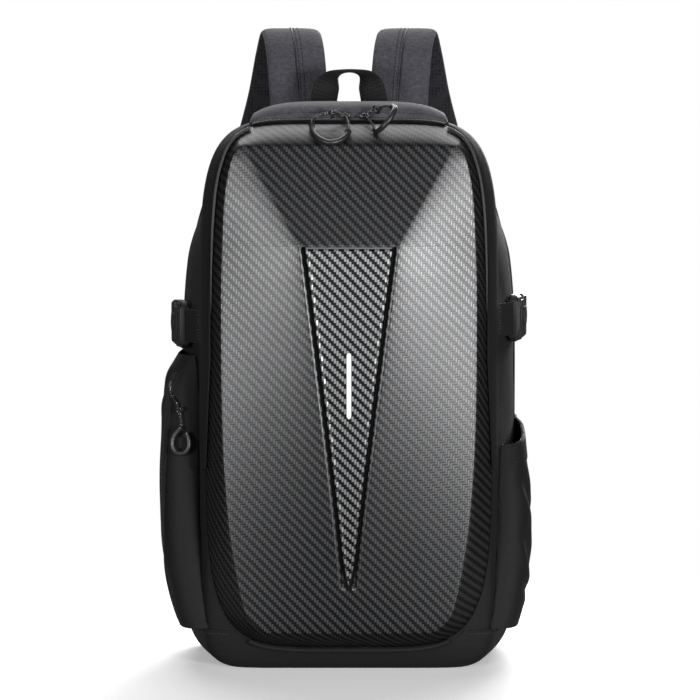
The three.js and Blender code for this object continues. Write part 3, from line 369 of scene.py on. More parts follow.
def woven(name, dark, light, scale, depth, roughness, sheen=0.3):
    finish = Finish(name)
    grain = finish.noise(scale, 3)
    patches = finish.noise(14, 3)
    color = finish.blend(grain * 0.7 + patches * 0.3, dark, light)
    upright = finish.noise(scale * 0.8, 2, stretch=(1, 1, 0.3))
    level = finish.noise(scale * 0.8, 2, stretch=(0.3, 0.3, 1))
    normal = finish.bump(upright + level + grain, depth, 0.7)
    return finish.done(color, roughness, normal, Sheen_Weight=sheen, Sheen_Roughness=0.5,
                       Specular_IOR_Level=0.22)


def heather():
    """Grey melange cloth, flecked along both threads."""
    finish = Finish("grey heather")
    long_flecks = finish.noise(700, 3, stretch=(1, 1, 0.35))
    wide_flecks = finish.noise(700, 3, stretch=(0.35, 0.35, 1))
    share = (long_flecks + wide_flecks - 0.6) * 1.3
    color = finish.blend(share, (0.032, 0.0315, 0.039), (0.088, 0.086, 0.102))
    normal = finish.bump(long_flecks + wide_flecks, 0.0004, 0.6)
    return finish.done(color, 0.85, normal, Sheen_Weight=0.08, Sheen_Roughness=0.6, Specular_IOR_Level=0.25)


def spacer_mesh():
    finish = Finish("spacer mesh")
    knit = {"Vector": finish.object_place(), "Scale": 330.0, "Randomness": 0.25}
    holes = finish.node("TexVoronoi", {}, knit)
    open_share = (holes * 2.2).math("MINIMUM", 1)
    color = finish.blend(open_share, (0.004, 0.004, 0.0045), (0.026, 0.026, 0.029))
    normal = finish.bump(open_share, 0.0009, 0.9)
    return finish.done(color, 0.9, normal, Sheen_Weight=0.02, Specular_IOR_Level=0.2)


def webbing_cloth():
    """Ribbed webbing: ribs across its length, with a chevron in them."""
    finish = Finish("ribbed webbing")
    u, v = finish.sheet_place()
    chevron = (u * 420).math("PINGPONG", 1)
    ribs = ((v * 640 + chevron) * math.pi).math("SINE")
    grain = finish.noise(1400, 2)
    color = finish.blend(ribs * 0.35 + 0.5, (0.004, 0.004, 0.0045), (0.013, 0.013, 0.0145))
    normal = finish.bump(ribs * 0.5 + grain * 0.5, 0.0004, 0.8)
    return finish.done(color, 0.7, normal, Sheen_Weight=0.02, Specular_IOR_Level=0.25)


def moulded(name, color, roughness, grain=0.00006, coat=0.0):
    finish = Finish(name)
    fine = finish.noise(1800, 2)
    broad = finish.noise(35, 3)
    shade = finish.blend(broad, color, tuple(min(1, part * 1.35 + 0.002) for part in color))
    rough = roughness + 0.1 * broad - 0.05
    normal = finish.bump(fine, grain, 0.6)
    return finish.done(shade, rough, normal, Coat_Weight=coat, Coat_Roughness=0.1)


def flecked_cord():
    finish = Finish("flecked cord")
    place = finish.object_place()
    settings = {"feature": "F1"}
    spots = finish.node("TexVoronoi", settings, {"Vector": place, "Scale": 620.0}, "Distance")
    braid = finish.noise(2400, 1)
    fleck = spots < 0.2
    color = finish.blend(fleck, (0.006, 0.006, 0.007), (0.6, 0.6, 0.62))
    normal = finish.bump(braid, 0.0003, 0.8)
    return finish.done(color, 0.6, normal)


def pale_floor():
    """White floor that gives way to the white around it, and throws little light back up."""
    finish = Finish("pale floor")
    place = finish.object_place()
    far = finish.node("VectorMath", {"operation": "LENGTH"}, {0: place}, "Value")
    reach = {"Value": far, "From Min": FLOOR_FADE[0], "From Max": FLOOR_FADE[1]}
    fade = finish.node("MapRange", {"interpolation_type": "SMOOTHSTEP"}, reach)
    seen = finish.node("LightPath", {}, {}, "Is Camera Ray")
    tone = finish.blend(finish.noise(3, 2), (0.94, 0.94, 0.94), (0.97, 0.97, 0.97))
    tone = finish.blend(seen, (0.22, 0.22, 0.22), tone)
    glow = finish.blend(seen, (0, 0, 0), (0.3, 0.3, 0.3))
    return finish.done(tone, 0.7, Specular_IOR_Level=0.1, Alpha=1 - fade, Emission_Color=glow,
                       Emission_Strength=1.0)


carbon = carbon_twill()
# Lighter grey for the bead on the plate's top edge: a painted highlight
bead_highlight_finish = moulded("painted edge highlight", (0.13, 0.132, 0.138), 0.3)
white_mark = moulded("white mark", (0.82, 0.82, 0.81), 0.4)
oxford = woven("black oxford", (0.0055, 0.0055, 0.0063), (0.0115, 0.0115, 0.013), 900, 0.0003, 0.7, 0.02)
lining = woven("black lining", (0.006, 0.006, 0.007), (0.014, 0.014, 0.016), 1100, 0.0003, 0.9, 0.1)
grey_cloth = heather()
mesh_cloth = spacer_mesh()
webbing = webbing_cloth()
plastic = moulded("buckle plastic", (0.012, 0.012, 0.013), 0.36)
teeth_plastic = moulded("zip plastic", (0.02, 0.02, 0.022), 0.3)
rubber = moulded("pull rubber", (0.014, 0.014, 0.016), 0.38)
cord_cloth = flecked_cord()
thread = moulded("sewing thread", (0.02, 0.02, 0.023), 0.55)
grey_thread = moulded("grey thread", (0.012, 0.012, 0.015), 0.6)
# Piping for the shell's upper corners: the piping is real, and its grey, lighter than the black oxford, is a
# painted highlight
piping_highlight_cloth = woven("corded piping with painted highlight", (0.02, 0.02, 0.023), (0.05, 0.05, 0.055), 1300, 0.0002, 0.42)


# Making pieces


def add_piece(name, points, faces, finish, nodes=(), flat=None, sharp=40, finishes=None):
    """A mesh piece from points in millimetres. flat holds each point's place on the cloth, in metres."""
    mesh = bpy.data.meshes.new(name)
    mesh.from_pydata(in_metres(points).tolist(), [], faces)
    if flat is not None:
        layer = mesh.uv_layers.new(name="UVMap")
        corners = np.zeros(len(mesh.loops), int)
        mesh.loops.foreach_get("vertex_index", corners)
        layer.data.foreach_set("uv", np.asarray(flat, float)[corners].ravel())
    mesh.materials.append(finish)
    if finishes:
        mesh.materials.append(finishes[0])
        mesh.polygons.foreach_set("material_index", finishes[1])
    work = bmesh.new()
    work.from_mesh(mesh)
    bmesh.ops.remove_doubles(work, verts=work.verts, dist=1e-7)
    bmesh.ops.recalc_face_normals(work, faces=work.faces)
    work.to_mesh(mesh)
    work.free()
    mesh.shade_smooth()
    mesh.set_sharp_from_angle(angle=math.radians(sharp))
    piece = bpy.data.objects.new(name, mesh)
    scene.collection.objects.link(piece)
    return placed(piece, nodes)


def placed(piece, nodes=()):
    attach(piece, "root")
    if nodes:
        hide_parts(*nodes)
    return piece


def normals_of(grid, wrap=False):
    down = np.gradient(grid, axis=0)
    side = np.roll(grid, -1, 1) - np.roll(grid, 1, 1) if wrap else np.gradient(grid, axis=1)
    return unit(np.cross(side, down))


def quads(rows, columns, wrap=False, start=0):
    count = columns if wrap else columns - 1
    r, c = np.meshgrid(np.arange(rows - 1), np.arange(count), indexing="ij")
    a = start + r * columns + c
    b = start + r * columns + (c + 1) % columns
    return np.stack([a, b, b + columns, a + columns], axis=-1).reshape(-1, 4).tolist()


def sheet_mesh(grid, thickness, wrap=False, outward=1):
    """Closed mesh of a sheet with the grid as its outer face: points, faces and places on the cloth."""
    rows, columns = grid.shape[:2]
    inner = grid - normals_of(grid, wrap) * outward * thickness
    points = np.vstack([grid.reshape(-1, 3), inner.reshape(-1, 3)])
    half = rows * columns
    faces = quads(rows, columns, wrap) + [face[::-1] for face in quads(rows, columns, wrap, half)]
    edges = [np.arange(columns), np.arange(columns) + (rows - 1) * columns]
    if not wrap:
        edges += [np.arange(rows) * columns, np.arange(rows) * columns + columns - 1]
    for index, edge in enumerate(edges):
        turns = len(edge) if wrap and index < 2 else len(edge) - 1
        for k in range(turns):
            a, b = int(edge[k]), int(edge[(k + 1) % len(edge)])
            faces.append([a, b, b + half, a + half])
    middle = grid[:, columns // 2]
    v = np.repeat(lengths_along(middle)[:, None], columns, axis=1)
    widest = grid[rows // 2]
    u = np.repeat(lengths_along(widest)[None, :], rows, axis=0)
    flat = np.stack([u, v], axis=-1).reshape(-1, 2) * 0.001
    return points, faces, np.vstack([flat, flat])


def add_sheet(name, grid, thickness, finish, nodes=(), wrap=False, outward=1, sharp=40):
    points, faces, flat = sheet_mesh(grid, thickness, wrap, outward)
    return add_piece(name, points, faces, finish, nodes, flat, sharp)


def rings_mesh(rings):
    """Closed mesh through rings, with flat ends."""
    rings = np.asarray(rings, float)
    count, sides = rings.shape[:2]
    points = np.vstack([rings.reshape(-1, 3), rings[0].mean(0), rings[-1].mean(0)])
    faces = quads(count, sides, True)
    last = (count - 1) * sides
    for k in range(sides):
        other = (k + 1) % sides
        faces.append([count * sides, other, k])
        faces.append([count * sides + 1, last + k, last + other])
    run = lengths_along(rings.mean(1))
    round_ring = lengths_along(rings[count // 2])
    flat = np.stack(np.broadcast_arrays(round_ring[None, :], run[:, None]), axis=-1).reshape(-1, 2)
    flat = np.vstack([flat, [0, run[0]], [0, run[-1]]]) * 0.001
    return points, faces, flat


def frames_along(path, across):
    forward = unit(np.gradient(path, axis=0))
    across = across - (across * forward).sum(1, keepdims=True) * forward
    across = unit(across)
    return forward, across, np.cross(forward, across)


def squared(turn, shape):
    """Cosine and sine of a round section, squared off by its shape."""
    c, s = np.cos(turn), np.sin(turn)
    size = (abs(c) ** shape + abs(s) ** shape) ** (-1 / shape)
    return c * size, s * size


def swept(path, across, widths, thicknesses, shape=4, sides=28, rounded_ends=0):
    """Rings of a flat band: shape is how square its section is."""
    path = np.asarray(path, float)
    count = len(path)
    across = np.broadcast_to(np.asarray(across, float), path.shape)
    _, side, normal = frames_along(path, across)
    c, s = squared((np.arange(sides) + 0.5) / sides * 2 * math.pi, shape)
    widths = np.broadcast_to(widths, count).astype(float)
    thicknesses = np.broadcast_to(thicknesses, count).astype(float)
    if rounded_ends:
        ease = np.minimum(np.arange(count), np.arange(count)[::-1]) / rounded_ends
        ease = np.sqrt(np.clip(1 - (1 - np.clip(ease + 0.12, 0, 1)) ** 2, 0, 1))
        thicknesses = thicknesses * ease
    wide = (widths / 2)[:, None] * c
    deep = (thicknesses / 2)[:, None] * s
    return path[:, None] + side[:, None] * wide[..., None] + normal[:, None] * deep[..., None]


def between(first, second):
    """Faces that join two closed loops of point numbers."""
    return np.stack([first, np.roll(first, -1), np.roll(second, -1), second], axis=1).tolist()


def add_joined(name, meshes, finish, nodes=(), angle=60):
    points, faces, flat = joined(meshes)
    return add_piece(name, points, faces, finish, nodes, flat, angle)


def add_band(name, path, across, width, thickness, finish, slot, nodes=(), **options):
    points, faces, flat = rings_mesh(swept(path, across, width, thickness, **options))
    return add_piece(name, points, faces, finish, nodes, flat, 50)


def tube_rings(path, radius, sides=12):
    path = np.asarray(path, float)
    forward = unit(np.gradient(path, axis=0))
    side = np.cross(forward[0], [0.3, 0.9, 0.31])
    sides_along = []
    for direction in forward:
        side = side - direction * side.dot(direction)
        side = side / np.linalg.norm(side)
        sides_along.append(side)
    side = np.array(sides_along)
    other = np.cross(forward, side)
    turn = np.arange(sides) / sides * 2 * math.pi
    radius = np.broadcast_to(radius, len(path)).astype(float)[:, None, None]
    return path[:, None] + radius * (
        side[:, None] * np.cos(turn)[None, :, None] + other[:, None] * np.sin(turn)[None, :, None])


def add_tube(name, path, radius, finish, nodes=(), sides=12):
    points, faces, flat = rings_mesh(tube_rings(path, radius, sides))
    return add_piece(name, points, faces, finish, nodes, flat, 60)


def joined(meshes):
    """One mesh of several: each is points, faces and places on the cloth."""
    points, faces, flat, start = [], [], [], 0
    for some_points, some_faces, some_flat in meshes:
        points.append(some_points)
        flat.append(some_flat)
        faces += [[start + k for k in face] for face in some_faces]
        start += len(some_points)
    return np.vstack(points), faces, np.vstack(flat)


def stitch_meshes(path, pitch=3.2, length=2.3, radius=0.32):
    """Stitches lying along a path."""
    run = lengths_along(path)
    count = max(int(run[-1] / pitch), 1)
    starts = (np.arange(count) + 0.2) * run[-1] / count
    meshes = []
    for start in starts:
        at = start + np.array([0, 0.15, 0.5, 0.85, 1]) * length
        line = np.stack([np.interp(at, run, path[:, k]) for k in range(3)], axis=1)
        meshes.append(rings_mesh(tube_rings(line, radius * np.array([0.3, 0.85, 1, 0.85, 0.3]), 6)))
    return meshes


def add_stitches(name, paths, finish, slot, **sizes):
    meshes = [mesh for path in paths for mesh in stitch_meshes(np.asarray(path, float), **sizes)]
    points, faces, flat = joined(meshes)
    return add_piece(name, points, faces, finish, (), flat, 60)


# The bag's outlines


def outline_at(y, grow=0.0):
    share = y / GUSSET_DEPTH
    flare = curve(STATIONS[:, 0], STATIONS[:, 1], share)
    drop = curve(STATIONS[:, 0], STATIONS[:, 2], share)
    return {
        "half": mix(RIM_HALF_WIDTH, BACK_HALF_WIDTH, flare) + grow,
        "top": mix(RIM_TOP, BACK_TOP, flare) + grow,
        "bottom": mix(RIM_BOTTOM, BODY_BOTTOM - 1.2, drop) - grow,
        "floor": BODY_BOTTOM - grow,
        "top_corner": mix(6, 3, flare),
        "bottom_corner": mix(5, 10, drop),
    }


def outline_point(outline, x, z):
    """Point of an outline in the direction of a place, given from the outline's middle."""
    half_height = (outline["top"] - outline["bottom"]) / 2
    corner = np.where(np.asarray(z) > 0, outline["top_corner"], outline["bottom_corner"])
    radius = ((abs(x) / outline["half"]) ** corner + (abs(z) / half_height) ** corner) ** (-1 / corner)
    height = (outline["top"] + outline["bottom"]) / 2 + z * radius
    return x * radius, np.maximum(height, outline["floor"])


def outline_normal(outline, x, z):
    half_height = (outline["top"] - outline["bottom"]) / 2
    up = z - (outline["top"] + outline["bottom"]) / 2
    corner = np.where(up > 0, outline["top_corner"], outline["bottom_corner"])
    across = np.sign(x) * (abs(x) / outline["half"]) ** (corner - 1) / outline["half"]
    rise = np.sign(up) * (abs(up) / half_height) ** (corner - 1) / half_height
    length = np.hypot(across, rise)
    return across / length, rise / length


def ring_directions(on_side):
    directions = []
    for right, up in ((0, 1), (1, 0), (0, -1), (-1, 0)):
        for k in range(on_side):
            slide = math.sin(((k + 0.5) / on_side * 2 - 1) * math.pi / 2)
            directions.append((right + slide * up, up - slide * right))
    return np.array(directions)


def body_ring(y, grow=0.0, on_side=64, at=None):
    outline = outline_at(y, grow)
    half_height = (outline["top"] - outline["bottom"]) / 2
    directions = ring_directions(on_side)
    x, z = outline_point(outline, outline["half"] * directions[:, 0], half_height * directions[:, 1])
    return np.stack([x, np.full_like(x, y if at is None else at), z], axis=1)


def side_x(y, z):
    outline = outline_at(y)
    half_height = (outline["top"] - outline["bottom"]) / 2
    up = z - (outline["top"] + outline["bottom"]) / 2
    corner = np.where(up > 0, outline["top_corner"], outline["bottom_corner"])
    inside = np.maximum(1 - (abs(up) / half_height) ** corner, 0)
    return outline["half"] * inside ** (1 / corner)


def top_z(x, y):
    outline = outline_at(y)
    half_height = (outline["top"] - outline["bottom"]) / 2
    inside = np.maximum(1 - (abs(x) / outline["half"]) ** outline["top_corner"], 0)
    return (outline["top"] + outline["bottom"]) / 2 + half_height * inside ** (1 / outline["top_corner"])


def creased(points, normals, creases):
    """Pushes a surface in along creases: each has two ends, a width and a depth."""
    points = points.copy()
    for start, end, width, depth in creases:
        start, end = np.array(start, float), np.array(end, float)
        line = end - start
        share = np.clip(((points - start) @ line) / line.dot(line), 0, 1)
        gap = np.linalg.norm(points - (start + share[..., None] * line), axis=-1) / width
        fade = np.sin(np.clip(share, 0.02, 0.98) * math.pi) ** 0.5
        push = depth * fade * (1.3 * np.exp(-gap**2) - 0.6 * np.exp(-((gap - 1.6) ** 2)))
        points -= normals * push[..., None]
    return points


def rippled(points, size):
    """Gentle unevenness of cloth, the same each time."""
    x, y, z = points[..., 0], points[..., 1], points[..., 2]
    wave = np.sin(x / 17 + z / 43) * np.sin(z / 29 - y / 23) + 0.6 * np.sin(z / 13 + y / 19 + x / 31)
    return wave * size / 1.6


# Camera, then the cords


def make_camera():
    data = bpy.data.cameras.new("camera")
    data.lens = CAMERA_LENS
    data.sensor_width = 36
    data.clip_end = 50
    camera = bpy.data.objects.new("camera", data)
    scene.collection.objects.link(camera)
    x, y, z = CAMERA_TARGET
    back, up = CAMERA_DISTANCE * math.cos(CAMERA_TILT), CAMERA_DISTANCE * math.sin(CAMERA_TILT)
    camera.location = (SEAM_X + x, y - back, z + up)
    camera.rotation_euler = (math.pi / 2 - CAMERA_TILT, 0, 0)
    scene.camera = camera


def from_rim_top(points):
    return np.asarray(points, float) + [0, 0, RIM_TOP]


def from_pocket_slider(points):
    return np.asarray(points, float) * [-1, 1, 1] + POCKET_SLIDER


def knot_mesh(middle, size):
    """Small overhand knot."""
    t = np.linspace(0, 2 * math.pi, 60)
    x = np.sin(t) + 1.7 * np.sin(2 * t)
    z = np.cos(t) - 1.7 * np.cos(2 * t)
    y = -1.1 * np.sin(3 * t)
    path = np.stack([x, y, z], axis=1) * size + middle
    return rings_mesh(tube_rings(path, CORD_RADIUS * 0.95, 8))


def add_pull(label, cord_route, grip_route, knot_at, knot_size):
    path = smooth_path(grip_route, 60)
    run = lengths_along(path) / lengths_along(path)[-1]
    collars = np.exp(-((np.minimum(run, 1 - run) / 0.035) ** 2))
    grip = add_tube(f"grip_{label}", path, GRIP_RADIUS * (1 + 0.22 * collars), rubber,
                    [label.replace("cord", "grip")], 20)
    points, faces, flat = knot_mesh(np.array(knot_at, float), knot_size)
    knot = add_piece(f"knot_{label}", points, faces, cord_cloth, (), flat, 60)
    route = in_metres(smooth_path(cord_route, 36))
    data = bpy.data.curves.new(f"cord_{label}", "CURVE")
    data.dimensions = "3D"
    data.bevel_depth = CORD_RADIUS * 0.001
    data.bevel_resolution = 3
    spline = data.splines.new("POLY")
    spline.points.add(len(route) - 1)
    spline.points.foreach_set("co", np.hstack([route, np.ones((len(route), 1))]).ravel())
    data.materials.append(cord_cloth)
    cord = bpy.data.objects.new(f"cord_{label}", data)
    scene.collection.objects.link(cord)
    placed(cord, [label])


make_camera()
add_pull("pull_cord_left", from_rim_top(PULL_CORD_LEFT), from_rim_top(PULL_GRIP_LEFT),
         from_rim_top([(-13.5, -4.4, 8)])[0], 1.15)
add_pull("pull_cord_right", from_rim_top(PULL_CORD_RIGHT), from_rim_top(PULL_GRIP_RIGHT),
         from_rim_top([(24, -4.5, 11.6)])[0], 1.3)
add_pull("pocket_cord", from_pocket_slider(POCKET_CORD), from_pocket_slider(POCKET_GRIP),
         from_pocket_slider([(-7.4, -7.9, -19)])[0], 1.2)


# Shell


def plate_half(height, face_half):
    above = height > PLATE_TOP
    end = SHELL_ROWS[-1, 1] * RIM_HALF_WIDTH * CREASE_END
    rising = mix(PLATE_HALF_WIDTH, end, (height - PLATE_TOP) / (SHELL_ROWS[-1, 0] - PLATE_TOP))
    share = np.clip((height - PLATE_TIP) / (PLATE_TOP - PLATE_TIP), 0, 1)
    below = mix(PLATE_TIP_HALF_WIDTH, PLATE_HALF_WIDTH, share**PLATE_TAPER)
    return np.where(above, np.minimum(rising, face_half * CREASE_END), below)


def shell_table(column, height):
    low = SHELL_ROWS[:, 0] < PLATE_TOP
    keys, values = SHELL_ROWS[:, 0], SHELL_ROWS[:, column]
    share = np.clip((height - keys[low][-1]) / (keys[~low][0] - keys[low][-1]), 0, 1)
    return mix(curve(keys[low], values[low], height), curve(keys[~low], values[~low], height), share)


def face_heights():
    low, high = SHELL_ROWS[0, 0], SHELL_ROWS[-1, 0]
    heights = np.concatenate([
        np.linspace(low, high, 150),
        PLATE_TOP + np.linspace(-0.009, 0.009, 19),
        PLATE_TIP + np.linspace(-0.01, 0.02, 13),
    ])
    return np.unique(np.round(heights, 5))


def face_grid():
    """The shell's front face: rows upwards, columns from left to right."""
    height = face_heights()[:, None]
    half = shell_table(1, height) * RIM_HALF_WIDTH
    ridge, edge = shell_table(2, height) * SHELL_RISE, shell_table(3, height) * SHELL_RISE
    plate = plate_half(height, half)
    outer = np.minimum(plate + GROOVE_WIDTH, mix(plate, half, 0.2))
    below_top = np.clip((PLATE_TOP - height) / 0.0016, 0, 1)
    on_plate = below_top * np.clip((height - PLATE_TIP + 0.01) / 0.01, 0, 1)
    in_plate = np.concatenate([np.linspace(0, 0.8, 9), np.linspace(0.84, 1, 7)])[None, 1:]
    in_groove = np.linspace(0, 1, 10)[None, 1:]
    on_facet = np.linspace(0, 1, 27)[None, 1:]
    from_edge = plate * (1 - in_plate)
    bead = 0.55 * np.exp(-(((from_edge - 1) / 0.8) ** 2))
    lip = 1.3 * np.exp(-(((height - PLATE_TOP + 0.003) / 0.0022) ** 2))
    plate_rise = ridge + on_plate * (PLATE_STEP + bead + lip)
    dip = GROOVE_DEPTH * np.sin(math.pi * in_groove) ** 0.6
    groove_rise = ridge + on_plate * (PLATE_STEP * (1 - in_groove) - dip)
    facet_rise = mix(ridge, edge, on_facet**FACET_CURVE)
    x = np.hstack([plate * in_plate, mix(plate, outer, in_groove), mix(outer, half, on_facet)])
    rise = np.hstack([plate_rise, groove_rise, facet_rise])
    middle_rise = ridge + on_plate * (PLATE_STEP + lip)
    z = RIM_BOTTOM + height * SHELL_HEIGHT
    x = np.hstack([-x[:, ::-1], np.zeros_like(z), x])
    rise = np.hstack([rise[:, ::-1], middle_rise, rise])
    return np.stack([x, np.broadcast_to(z, x.shape), rise], axis=-1)


def face_loop(grid):
    return np.concatenate([grid[0, :-1], grid[:-1, -1], grid[-1, :0:-1], grid[:0:-1, 0]])


def wall_point(spot, share, out=0.0):
    """Place on the shell's side wall: share 0 at the rim, 1 at the face's edge."""
    rim = outline_at(0)
    rim_x, rim_z = outline_point(rim, spot[..., 0], spot[..., 1] - RIM_MIDDLE)
    normal_x, normal_z = outline_normal(rim, rim_x, rim_z)
    rise = (1 - (1 - share) ** WALL_ROUND) * spot[..., 2]
    x = mix(rim_x, spot[..., 0], share) + normal_x * out
    z = mix(rim_z, spot[..., 1], share) + normal_z * out
    return np.stack([x, -SEAM_GAP - rise, z], axis=-1)


def mark_plate(shell):
    """Marks the shell's raised plate for the finish, and where shade is painted: fully in the grooves beside the
    plate, and at WALL_SHADE strength on the side wall.
    """
    places = np.zeros(len(shell.data.vertices) * 3)
    shell.data.vertices.foreach_get("co", places)
    places = (places.reshape(-1, 3) - [SEAM_X, SEAM_Y, 0]) * 1000
    height = (places[:, 2] - RIM_BOTTOM) / SHELL_HEIGHT
    half = plate_half(height, shell_table(1, height) * RIM_HALF_WIDTH)
    out = abs(places[:, 0])
    pointed = np.clip((height - PLATE_TIP) / PLATE_POINT, 0, 1) ** 0.6
    below_top = (height > PLATE_TIP - 0.01) & (height < PLATE_TOP)
    opening = np.clip((height - PLATE_TIP + 0.012) / PLATE_POINT, 0, 1)
    groove_edge = (half + GROOVE_WIDTH) * mix(0.25, 1, opening)
    plate = (out < half * pointed + 0.1) & (height > PLATE_TIP) & (height < PLATE_TOP)
    painted_shade = (out > half * pointed + 0.3) & (out < groove_edge - 0.3) & below_top
    face_half = shell_table(1, height) * RIM_HALF_WIDTH
    low, high = SHELL_ROWS[[0, -1], 0]
    wall = (out > face_half + 0.2) | (abs(height - (low + high) / 2) > (high - low) / 2 + 0.001)
    # The second attribute is painted shade for the grooves and the side wall
    for name, share in (("plate", plate * 1.0), ("painted_shade", np.maximum(painted_shade * 1.0, wall * WALL_SHADE))):
        attribute = shell.data.attributes.new(name, "FLOAT", "POINT")
        attribute.data.foreach_set("value", share.astype(float))


def make_shell():
    grid = face_grid()
    rows, columns = grid.shape[:2]
    face = np.stack([grid[..., 0], -SEAM_GAP - grid[..., 2], grid[..., 1]], axis=-1)
    loop = face_loop(grid)
    shares = 1 - np.linspace(0, 1, 19)[1:] ** 1.3
    rings = [wall_point(loop, share) for share in shares]
    edge = np.stack([loop[:, 0], -SEAM_GAP - loop[:, 2], loop[:, 1]], axis=-1)
    gaps = np.linalg.norm(np.diff(np.array([edge] + rings), axis=0), axis=-1).cumsum(axis=0)
    toward = unit(rings[-1][:, [0, 2]] - edge[:, [0, 2]])
    count = len(loop)
    indices = np.arange(rows * columns).reshape(rows, columns)
    first = face_loop(indices[..., None])[:, 0]
    outer = [face.reshape(-1, 3)] + rings
    flat = [face.reshape(-1, 3)[:, [0, 2]]] + [edge[:, [0, 2]] + toward * gap[:, None] for gap in gaps]
    inner_face = face + [0, SHELL_WALL, 0]
    lifts = [[0, 0.5 * SHELL_WALL * (share > 0.03), 0] for share in shares]
    inner_rings = [wall_point(loop, share, -1.15 * SHELL_WALL) + lift for share, lift in zip(shares, lifts)]
    outer_count = rows * columns + count * len(rings)
    points = np.vstack(outer + [inner_face.reshape(-1, 3)] + inner_rings)
    faces = []
    for layer in (0, outer_count):
        faces += quads(rows, columns, start=layer)
        previous = first + layer
        for k in range(len(rings)):
            ring = layer + rows * columns + k * count + np.arange(count)
            faces += between(previous, ring)
            previous = ring
    outer_rim = rows * columns + (len(rings) - 1) * count + np.arange(count)
    inner_rim = outer_rim + outer_count
    faces += between(outer_rim, inner_rim)
    flat = np.vstack(flat + flat) * 0.001
    shell = add_piece("hard_shell", points, faces, carbon, ["shell"], flat, 180)
    mark_plate(shell)
    return grid


def make_plate_bead():
    """Bead along the plate's top edge, in a lighter grey that is a painted highlight."""
    height = PLATE_TOP - 0.002
    half = float(plate_half(height, shell_table(1, height) * RIM_HALF_WIDTH)) - 0.5
    front = -SEAM_GAP - float(shell_table(2, height)) * SHELL_RISE - PLATE_STEP - 1.1
    x = np.linspace(-half, half, 60)
    path = np.stack([x, np.full(60, front), np.full(60, RIM_BOTTOM + height * SHELL_HEIGHT)], axis=1)
    add_tube("plate_bead", path, 0.8, bead_highlight_finish, (), 10)


def make_mark():
    low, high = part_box("shell_bar")
    length, width = (high.z - low.z) * 1000, (high.x - low.x) * 1000
    middle = (high.z + low.z) * 500
    z = np.linspace(-0.5, 0.5, 40) * length + middle
    height = (z - RIM_BOTTOM) / SHELL_HEIGHT
    front = -SEAM_GAP - shell_table(2, height) * SHELL_RISE - PLATE_STEP
    past_end = np.maximum(abs(z - middle) - length / 2 + width / 2, 0) / (width / 2)
    half = width * 0.38 * np.sqrt(np.clip(1 - past_end**2, 0.02, 1))
    path = np.stack([np.zeros_like(z), front - 0.25, z], axis=1)
    add_band("white_mark", path, (1, 0, 0), half * 2, 0.7, white_mark, "white_mark", ["shell_bar"],
             shape=6, sides=20)


def flap_spots(grid, side):
    """The face's edge from low on one side, round the upper corner and along the top."""
    column = grid[grid[:, -1, 1] >= RIM_BOTTOM + FLAP_FOOT * SHELL_HEIGHT][:, -1]
    top = grid[-1, ::-1][1:]
    top = top[top[:, 0] > BAND_HALF_WIDTH * 0.9]
    spots = resampled(np.vstack([column, top]), 150)
    return spots * [side, 1, 1]


def make_flap(grid, side, label):
    spots = flap_spots(grid, side)
    height = (spots[:, 1] - RIM_BOTTOM) / SHELL_HEIGHT
    cover = np.interp(height, *FLAP_COVER)
    left_over = np.clip((abs(spots[:, 0]) - abs(spots[-1, 0])) / FLAP_TAPER, 0, 1)
    cover = cover * mix(0.12, 1, left_over * left_over * (3 - 2 * left_over))
    far = SEAM_GAP * 1.7 + FLAP_THICKNESS
    outline = outline_at(FLAP_REACH, far)
    plain = outline_at(FLAP_REACH)
    x, z = outline_point(outline, spots[:, 0], spots[:, 1] - (plain["top"] + plain["bottom"]) / 2)
    columns = [np.stack([x, np.full_like(x, FLAP_REACH), z], axis=1)]
    columns.append(mix(columns[0], wall_point(spots, 0, far), 0.5))
    for share in np.linspace(0, 1, 9):
        lift = far - 0.5 * max(share - 0.8, 0) / 0.2
        columns.append(wall_point(spots, share * cover, lift))
    sheet = np.stack(columns, axis=1)
    name = f"zip_flap_{label}"
    add_sheet(f"{name}_cloth", sheet, FLAP_THICKNESS, oxford, [name], outward=side)
    seam = wall_point(spots, cover - 0.1, far + 0.12)[left_over >= 1][8:]
    add_stitches(f"flap_stitches_{label}", [seam], thread, "fabric")
    corner = height > 0.63
    tube = wall_point(spots[corner], cover[corner] + 0.104, CORNER_PIPING_RADIUS * 1.75 + SEAM_GAP)
    thin = CORNER_PIPING_RADIUS * np.clip(np.linspace(0.02, 2.2, len(tube)), 0, 1) ** 0.7
    # The corner piping's lighter grey is a painted highlight along the shell's upper corners
    add_tube(f"corner_piping_{label}", tube, thin, piping_highlight_cloth, [f"piping_{label}"], 10)


def make_base_piping():
    outline = outline_at(0)
    half_height = (outline["top"] - outline["bottom"]) / 2
    x = np.linspace(-1, 1, 80) * RIM_HALF_WIDTH * 0.7
    up = half_height * (1 - (abs(x) / outline["half"]) ** 5) ** 0.2
    z = (outline["top"] + outline["bottom"]) / 2 - up - 2.3
    path = np.stack([x, np.full_like(x, -2.3), z], axis=1)
    add_tube("base_piping", path, BASE_PIPING_RADIUS, oxford, ["piping_base"], 14)


# Bag


BODY_CREASES = [
    ((-126, 60, 424), (-143, 95, 401), 5, 1.6), ((126, 62, 420), (142, 96, 392), 5, 1.3),
    ((-119, 24, 428), (-138, 60, 388), 7, 1.2), ((122, 26, 250), (132, 60, 242), 7, 1.4),
    ((-122, 20, 236), (-134, 56, 246), 6, 1.2), ((120, 18, 330), (130, 52, 300), 8, 1),
    ((-60, 70, 472), (-20, 90, 476), 7, 1), ((70, 80, 470), (30, 66, 475), 7, 1),
]


def slumped(points):
    """Cloth at the bag's upper corners, which sinks in a little."""
    high = np.clip((points[..., 2] - SLUMP_START) / SLUMP_RUN, 0, 1)
    out = np.clip((abs(points[..., 0]) - SHOULDER_START) / SHOULDER_RUN, 0, 1)
    share = SLUMP * high * high * (3 - 2 * high) * out * out * (3 - 2 * out)
    return points - share[..., None] * np.sign(points) * [1, 0, 0.6]


